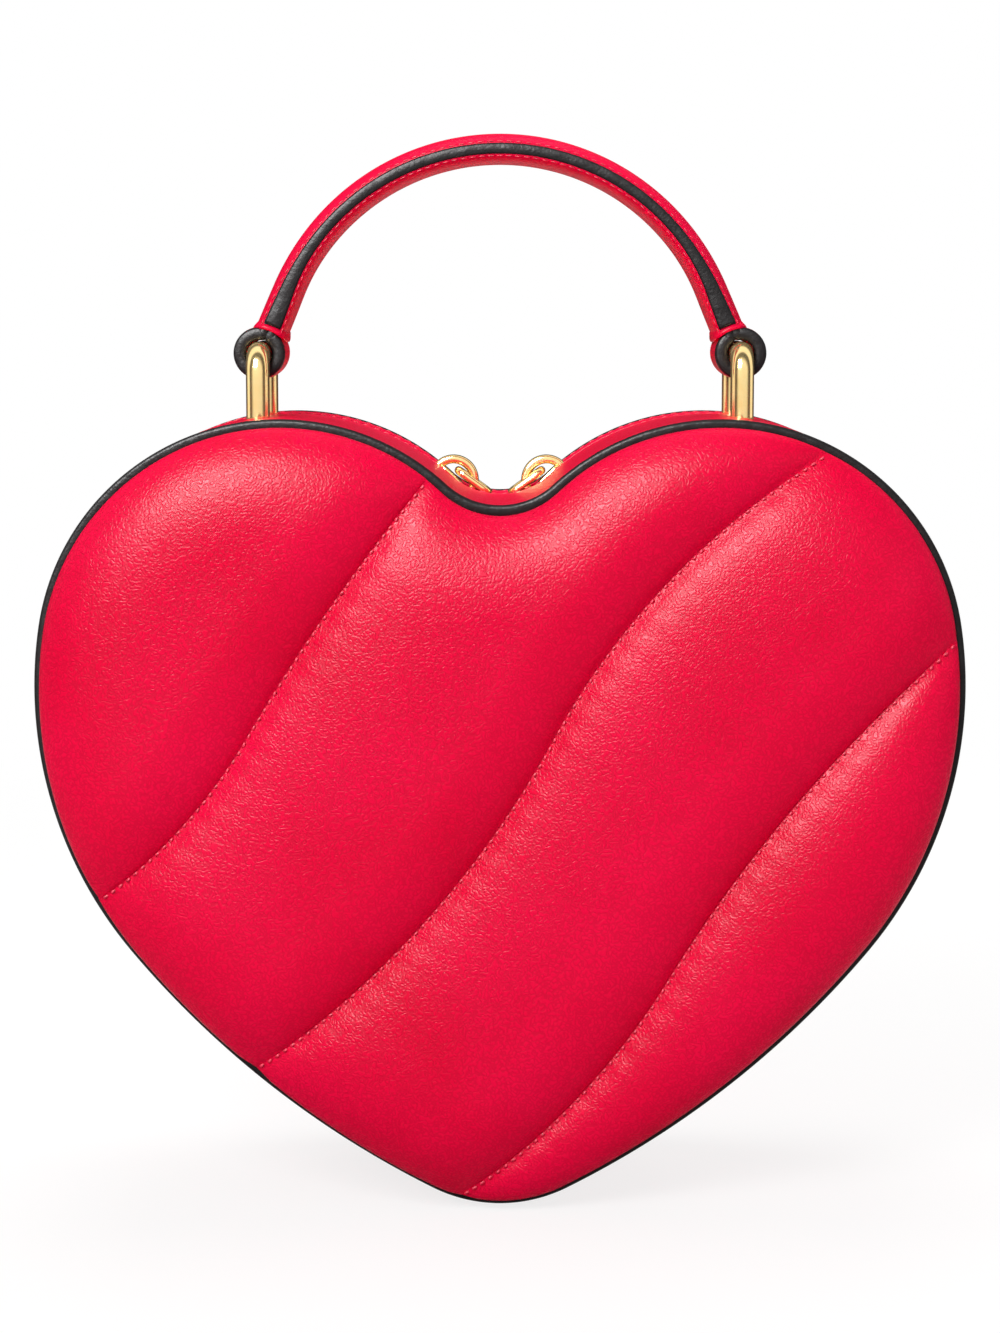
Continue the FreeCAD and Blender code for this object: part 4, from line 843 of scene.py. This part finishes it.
# Handle: a stiff black strap bent to an arc, its painted edge showing as a strip between two padded faces of
# red calf, which are turned over cords and topstitched beside the strip.
HANDLE_Z = -56.3832
HANDLE_RADIUS = 60.1832
HANDLE_HALF = np.radians(67.0)
STRAP_THICK = 2.6
HANDLE_WIDTH = 22.0
UPPER_PAD = 2.8
LOWER_PAD = 2.4
PAD_HALF = 10.4
STRAIGHT_END = 11.1
STRAP_SHIFT = -0.5
END_SWELL = 0.7
arc_turn = np.linspace(-HANDLE_HALF, HANDLE_HALF, 150)
arc_out = np.stack([np.sin(arc_turn), 0 * arc_turn, np.cos(arc_turn)], axis=-1)
arc_path = arc_out * HANDLE_RADIUS + np.array([0.0, 0.0, HANDLE_Z])
run = np.linspace(0.0, STRAIGHT_END, 16)[1:]
end_out = arc_out[-1]
end_ahead = np.array([np.cos(HANDLE_HALF), 0.0, -np.sin(HANDLE_HALF)])
right_end = arc_path[-1] + run[:, None] * end_ahead
left_end = right_end[::-1] * np.array([-1.0, 1.0, 1.0])
handle_path = np.concatenate([left_end, arc_path, right_end])
handle_out = np.concatenate([np.tile(arc_out[0], (15, 1)), arc_out, np.tile(end_out, (15, 1))])
handle_length = np.concatenate([[0.0], np.cumsum(np.linalg.norm(np.diff(handle_path, axis=0), axis=1))])
from_end = np.minimum(handle_length, handle_length[-1] - handle_length)
taper = np.exp(-(from_end / 15.0) ** 2)
strap_swell = 1.0 + END_SWELL * taper
strap_section = oval(HANDLE_WIDTH, STRAP_THICK + 0.5, 0.25, 40)
strap_run = slice(2, -2)
points = tube((handle_path + STRAP_SHIFT * handle_out)[strap_run], BACKWARDS,
              (handle_out * strap_swell[:, None])[strap_run], strap_section)[0]
strap = new_piece("handle_black_strap", *capped(points), "handle", "black_edge", [BLACK_EDGE])
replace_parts(strap, "handle_strap")


def padded_face(name, base, rise_to, nodes):
    """One padded face: a bowed section rise * (1 - |a|^3)^0.6 over the strap's width, carried along the arc and
    flattened towards the handle's ends, where the strap thickens."""
    a = np.sin(np.linspace(-np.pi / 2, np.pi / 2, 31))
    bow = (1 - np.abs(a) ** 3) ** 0.6
    under = np.linspace(1.0, -1.0, 9)[1:-1]
    across = np.concatenate([a, under]) * PAD_HALF
    lift = np.concatenate([bow, np.zeros(7)])
    bottom = STRAP_SHIFT + base * strap_swell
    height = rise_to * (1.0 - 0.25 * taper)
    points = (handle_path[:, None, :] + across[None, :, None] * BACKWARDS
              + (bottom[:, None] + height[:, None] * lift[None, :])[..., None] * handle_out[:, None, :])
    piece = new_piece(name, *capped(points), "handle", "red_leather", [SMOOTH_CALF])
    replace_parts(piece, *nodes)


padded_face("handle_upper_leather", STRAP_THICK / 2, UPPER_PAD, ("handle_top_leather", "handle_top_core"))
padded_face("handle_lower_leather", -STRAP_THICK / 2, -LOWER_PAD, ("handle_grip_leather", "handle_grip_core"))


def handle_stitches(name, base, face):
    """A row of stitches along one padded face, half a millimetre off the strip, in front (-1) or behind (1)."""
    count = int(handle_length[-1] / 2.4)
    spots = (np.arange(count) + 0.5) * handle_length[-1] / count
    lift = STRAP_SHIFT + base * strap_swell + np.sign(base) * 0.55
    line = handle_path + lift[:, None] * handle_out
    middles = np.stack([np.interp(spots, handle_length, line[:, axis]) for axis in range(3)], axis=-1)
    middles[:, 1] = face * (PAD_HALF - 0.2)
    along = unit(np.gradient(middles, axis=0))
    stitch_row(name, middles, along, np.repeat(face * BACKWARDS, count, axis=0), 1.9, 0.32, "handle", DEEP_THREAD)


for level, base in (("upper", STRAP_THICK / 2), ("lower", -STRAP_THICK / 2)):
    handle_stitches("handle_%s_stitches_front" % level, base, -1.0)
    handle_stitches("handle_%s_stitches_back" % level, base, 1.0)


def end_band(name, hand):
    """The leathers' ends turned in and sewn across beside the loop: a rounded band 2.3 mm long that widens
    towards the loop and is hollowed to sit on it, along = 1.5 * (height / 5.1)^2 - run."""
    run = np.array([0.0, 0.25, 0.8, 1.2, 1.6, 2.05, 2.3])
    size = np.array([0.96, 1.0, 0.99, 0.96, 0.92, 0.88, 0.82])
    section = oval(HANDLE_WIDTH + 0.4, 9.7, 0.55, 40)
    height = size[:, None] * section[None, :, 1]
    along = 1.5 * (height / 5.1) ** 2 - run[:, None]
    points = (handle_path[-1] + along[..., None] * end_ahead + (STRAP_SHIFT + height)[..., None] * end_out
              + (size[:, None] * section[None, :, 0])[..., None] * BACKWARDS)
    new_piece(name, *capped(points * np.array([hand, 1.0, 1.0])), "handle", "red_leather", [SMOOTH_CALF])


end_band("handle_left_end_band", -1.0)
end_band("handle_right_end_band", 1.0)

# Loops: a tongue of red calf folded round each arch bar, its two tails glued together and let into the
# handle's end. The cut edges, front and back, are painted black.
LOOP_HOLE = 3.3
LOOP_LEATHER = 3.5
TAB_THICK = 4.6
LOOP_DROP = 9.3
LOOP_WIDTH = 20.8
TAIL_FOOT = 7.0
RING_OPENS = np.radians(15.0)
LOOP_LEAN = np.radians(23.0)


def folded_loop(name, hand, node):
    """A bar section carried down one tail, out on a cubic to the ring round the bar, round it, and back up.

    On the tail the strip's middle is a quarter of the tab from the centre line, and on the ring it is half a
    thickness out from the hole. The section's narrow sides are the painted edges.
    """
    start = np.array([TAB_THICK / 4, TAIL_FOOT])
    ring_middle = LOOP_HOLE + LOOP_LEATHER / 2
    stop = ring_middle * np.array([np.sin(RING_OPENS), np.cos(RING_OPENS)])
    q = np.linspace(0.0, 1.0, 12)[:, None]
    leave = np.array([0.0, -2.0])
    meet = 1.5 * np.array([np.cos(RING_OPENS), -np.sin(RING_OPENS)])
    bridge = ((2 * q ** 3 - 3 * q ** 2 + 1) * start + (q ** 3 - 2 * q ** 2 + q) * leave
              + (3 * q ** 2 - 2 * q ** 3) * stop + (q ** 3 - q ** 2) * meet)
    tail = np.stack([np.full(6, TAB_THICK / 4), np.linspace(LOOP_DROP, TAIL_FOOT, 6)], axis=-1)
    turn = np.linspace(RING_OPENS, np.pi, 24)
    ring = ring_middle * np.stack([np.sin(turn), np.cos(turn)], axis=-1)
    half = np.concatenate([tail[:-1], bridge[:-1], ring])
    line = np.concatenate([half, half[-2::-1] * np.array([-1.0, 1.0])])
    thick = np.concatenate([np.full(5, TAB_THICK / 2), np.linspace(TAB_THICK / 2, LOOP_LEATHER, 11),
                            np.full(24, LOOP_LEATHER)])
    thick = np.concatenate([thick, thick[-2::-1]])
    ahead = unit(np.gradient(line, axis=0))
    lean = -LOOP_LEAN * hand
    spin = np.array([[np.cos(lean), np.sin(lean)], [-np.sin(lean), np.cos(lean)]])
    flat = line @ spin.T + np.array([hand * ARCH_X, ARCH_BAR_Z])
    side = np.stack([-ahead[:, 1], ahead[:, 0]], axis=-1) @ spin.T
    path = np.stack([flat[:, 0], 0 * thick, flat[:, 1]], axis=-1)
    up = np.stack([side[:, 0], 0 * thick, side[:, 1]], axis=-1) * thick[:, None]
    points, faces = capped(tube(path, BACKWARDS, up, oval(LOOP_WIDTH, 1.0, 0.28, 32))[0])
    angle = (np.arange(32) + 0.5) * 2 * np.pi / 32
    painted = (np.abs(np.cos(angle)) > 0.62).astype(int)
    finish_of = np.tile(painted, len(faces) // 32)
    piece = new_piece(name, points, faces, "handle", "red_leather", [SMOOTH_CALF, BLACK_EDGE], finish_of)
    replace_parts(piece, node)


folded_loop("left_handle_loop", -1, "loop_left")
folded_loop("right_handle_loop", 1, "loop_right")

# Inside: black woven lining, a slip pocket, grey-brown board behind the leather, and zinc plated plates and
# screws under the arches. These keep the shapes that they are cut to.


def lining_cloth():
    """Plain woven polyester twill, matt black: threads 0.6 mm apart, drawn that coarse so that they show."""
    finish, tree, place = new_finish("black_lining_twill")
    warp, weft = [add(tree, "ShaderNodeTexWave", {"Vector": place, "Scale": 0.314 / 0.0006, "Distortion": 0.6},
                      bands_direction=across)["Fac"] for across in ("X", "Z")]
    weave = add(tree, "ShaderNodeMath", {0: warp, 1: weft}, operation="MAXIMUM")["Value"]
    return coat(finish, tree, {"Base Color": two_tone(tree, weave, "#161414", "#2e2a2b"), "Roughness": 0.85,
                               "Normal": raised(tree, weave, 0.0001), "Sheen Weight": 0.1})


def bag_board():
    """Grey-brown salpa board, pressed leather fibre: matt, speckled with fibres about 1.5 mm long."""
    finish, tree, place = new_finish("pressed_fibre_board")
    fibres = specks(tree, place, 0.0015, 5.0)
    return coat(finish, tree, {"Base Color": two_tone(tree, fibres, "#8a7355", "#b49b78"), "Roughness": 0.9,
                               "Normal": raised(tree, fibres, 0.0001)})


def zinc_plate():
    """Mild steel, stamped and zinc plated: grey metal with a faint crystalline bloom."""
    finish, tree, place = new_finish("zinc_plated_steel")
    bloom = add(tree, "ShaderNodeTexVoronoi", {"Vector": place, "Scale": 1 / 0.0025})["Color"]
    grey = add(tree, "ShaderNodeSeparateColor", {"Color": bloom})["Red"]
    rough = add(tree, "ShaderNodeMapRange", {"Value": grey, "To Min": 0.3, "To Max": 0.42})["Result"]
    return coat(finish, tree, {"Base Color": two_tone(tree, grey, "#b4b6b8", "#cfd1d2"), "Metallic": 1.0,
                               "Roughness": rough})


INSIDE = (
    (lining_cloth(), ("front_lining", "gusset_lining", "back_lining", "lid_lining", "inner_pocket")),
    (bag_board(), ("front_board", "back_board", "gusset_stiffener", "lid_stiffener")),
    (zinc_plate(), ("arch_plate_left", "arch_plate_right", "arch_screws")),
)
for finish, names in INSIDE:
    for name in names:
        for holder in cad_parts[name].material_slots:
            holder.material = finish

# Studio: a pale floor under the purse's tip and a white surround. The main lamp is above on the left, with weaker
# ones on the right, in front, over the top and behind, and a soft box above the camera that only shows in gloss.


def studio():
    """Floor, lamps, surround and camera, none of them part of the purse."""
    scene = bpy.context.scene
    mesh = bpy.data.meshes.new("studio_floor")
    reach = 3.0
    level = -0.2685
    corners = [(-reach, -reach, level), (reach, -reach, level), (reach, reach, level), (-reach, reach, level)]
    mesh.from_pydata(corners, [], [(0, 1, 2, 3)])
    floor = bpy.data.objects.new("studio_floor", mesh)
    scene.collection.objects.link(floor)
    paper, tree, place = new_finish("white_paper_floor")
    # The paper is pale to the camera and greyer to other rays, so that it doesn't wash out the red from below.
    rays = add(tree, "ShaderNodeLightPath", {})
    paper_tone = two_tone(tree, rays["Is Camera Ray"], "#bcbab9", "#f4f2f1")
    matt = add(tree, "ShaderNodeBsdfDiffuse", {"Color": paper_tone})["BSDF"]
    glow = add(tree, "ShaderNodeEmission", {"Color": linear("#ffffff"), "Strength": 1.0})["Emission"]
    away = add(tree, "ShaderNodeVectorMath", {0: place}, operation="LENGTH")["Value"]
    fade = add(tree, "ShaderNodeMapRange", {
        "Value": away, "From Min": 0.25, "From Max": 0.8, "To Min": 0.8})["Result"]
    seen = add(tree, "ShaderNodeMath", {0: rays["Is Camera Ray"], 1: fade}, operation="MULTIPLY")["Value"]
    surface = add(tree, "ShaderNodeMixShader", {"Fac": seen, 1: matt, 2: glow})["Shader"]
    add(tree, "ShaderNodeOutputMaterial", {"Surface": surface})
    mesh.materials.append(paper)

    world = bpy.data.worlds.new("white_surround")
    world.use_nodes = True
    sky = world.node_tree
    sky.nodes.clear()
    # The gold mirrors white and black cards, from in front of the purse to behind it, that darken downwards. The
    # camera sees white.
    rays = add(sky, "ShaderNodeLightPath", {})
    way = add(sky, "ShaderNodeTexCoord", {})["Generated"]
    parts = add(sky, "ShaderNodeSeparateXYZ", {"Vector": way})
    ahead = add(sky, "ShaderNodeMapRange", {"Value": parts["Y"], "From Min": -1.0})["Result"]
    strip = add(sky, "ShaderNodeMapRange", {
        "Value": parts["Z"], "From Min": -0.13, "From Max": -0.04, "To Min": 0.2, "To Max": 1.25},
        interpolation_type="SMOOTHSTEP")["Result"]
    card = add(sky, "ShaderNodeValToRGB", {"Fac": ahead})["Color"]
    cards = sky.nodes[-1].color_ramp.elements
    for place, grey in ((0.12, 0.9), (0.25, 0.02), (0.38, 0.02), (0.46, 1.0), (0.66, 1.0), (0.76, 0.04)):
        cards.new(place).color = (grey, grey, grey, 1.0)
    cards[0].color = (0.9, 0.9, 0.9, 1.0)
    cards[7].color = (0.03, 0.03, 0.03, 1.0)
    mirrored = add(sky, "ShaderNodeMath", {0: card, 1: strip}, operation="MULTIPLY")["Value"]
    dim = add(sky, "ShaderNodeMapRange", {
        "Value": rays["Is Glossy Ray"], "To Min": 0.25, "To Max": mirrored})["Result"]
    seen = add(sky, "ShaderNodeMath", {0: rays["Is Camera Ray"], 1: rays["Is Transmission Ray"]},
               operation="MAXIMUM")["Value"]
    strength = add(sky, "ShaderNodeMapRange", {"Value": seen, "To Min": dim, "To Max": 1.0})["Result"]
    shown = add(sky, "ShaderNodeBackground", {"Color": linear("#ffffff"), "Strength": strength})["Background"]
    add(sky, "ShaderNodeOutputWorld", {"Surface": shown})
    scene.world = world

    for name, place, aim, size, power, in_gloss in (
            ("soft_lamp_above", (-0.38, -0.80, 0.48), (0.0, 0.0, -0.12), 0.5, 9.7, False),
            ("soft_lamp_right", (0.8, -0.6, 0.1), (0.0, 0.0, -0.14), 0.6, 1.6, False),
            ("soft_lamp_front", (0.0, -1.1, -0.1), (0.0, 0.0, -0.15), 0.8, 0.8, False),
            ("soft_lamp_top", (0.0, 0.25, 0.75), (0.0, 0.0, -0.1), 0.6, 6.0, False),
            ("soft_lamp_behind", (0.35, 0.95, 0.3), (0.0, 0.0, -0.14), 0.6, 4.0, False),
            ("soft_box_above", (-0.28, -0.60, 0.32), (-0.06, 0.0, -0.1), 0.36, 31.0, True)):
        lamp = bpy.data.lights.new(name, "AREA")
        lamp.shape = "SQUARE"
        lamp.size = size
        lamp.energy = power
        holder = bpy.data.objects.new(name, lamp)
        holder.visible_glossy = in_gloss
        holder.visible_diffuse = not in_gloss
        scene.collection.objects.link(holder)
        holder.location = place
        away = np.array(place) - np.array(aim)
        across = np.hypot(away[0], away[1])
        holder.rotation_euler = (np.arctan2(across, away[2]), 0.0, np.arctan2(away[0], -away[1]))

    lens = bpy.data.cameras.new("photo_camera")
    lens.sensor_width = 36.0
    lens.lens = 81.65
    camera = bpy.data.objects.new("photo_camera", lens)
    scene.collection.objects.link(camera)
    camera.location = (0.0, -0.795, -0.0353)
    camera.rotation_euler = (np.radians(90.0 - 6.912), 0.0, 0.0)
    scene.camera = camera
    scene.view_settings.view_transform = "Standard"


studio()
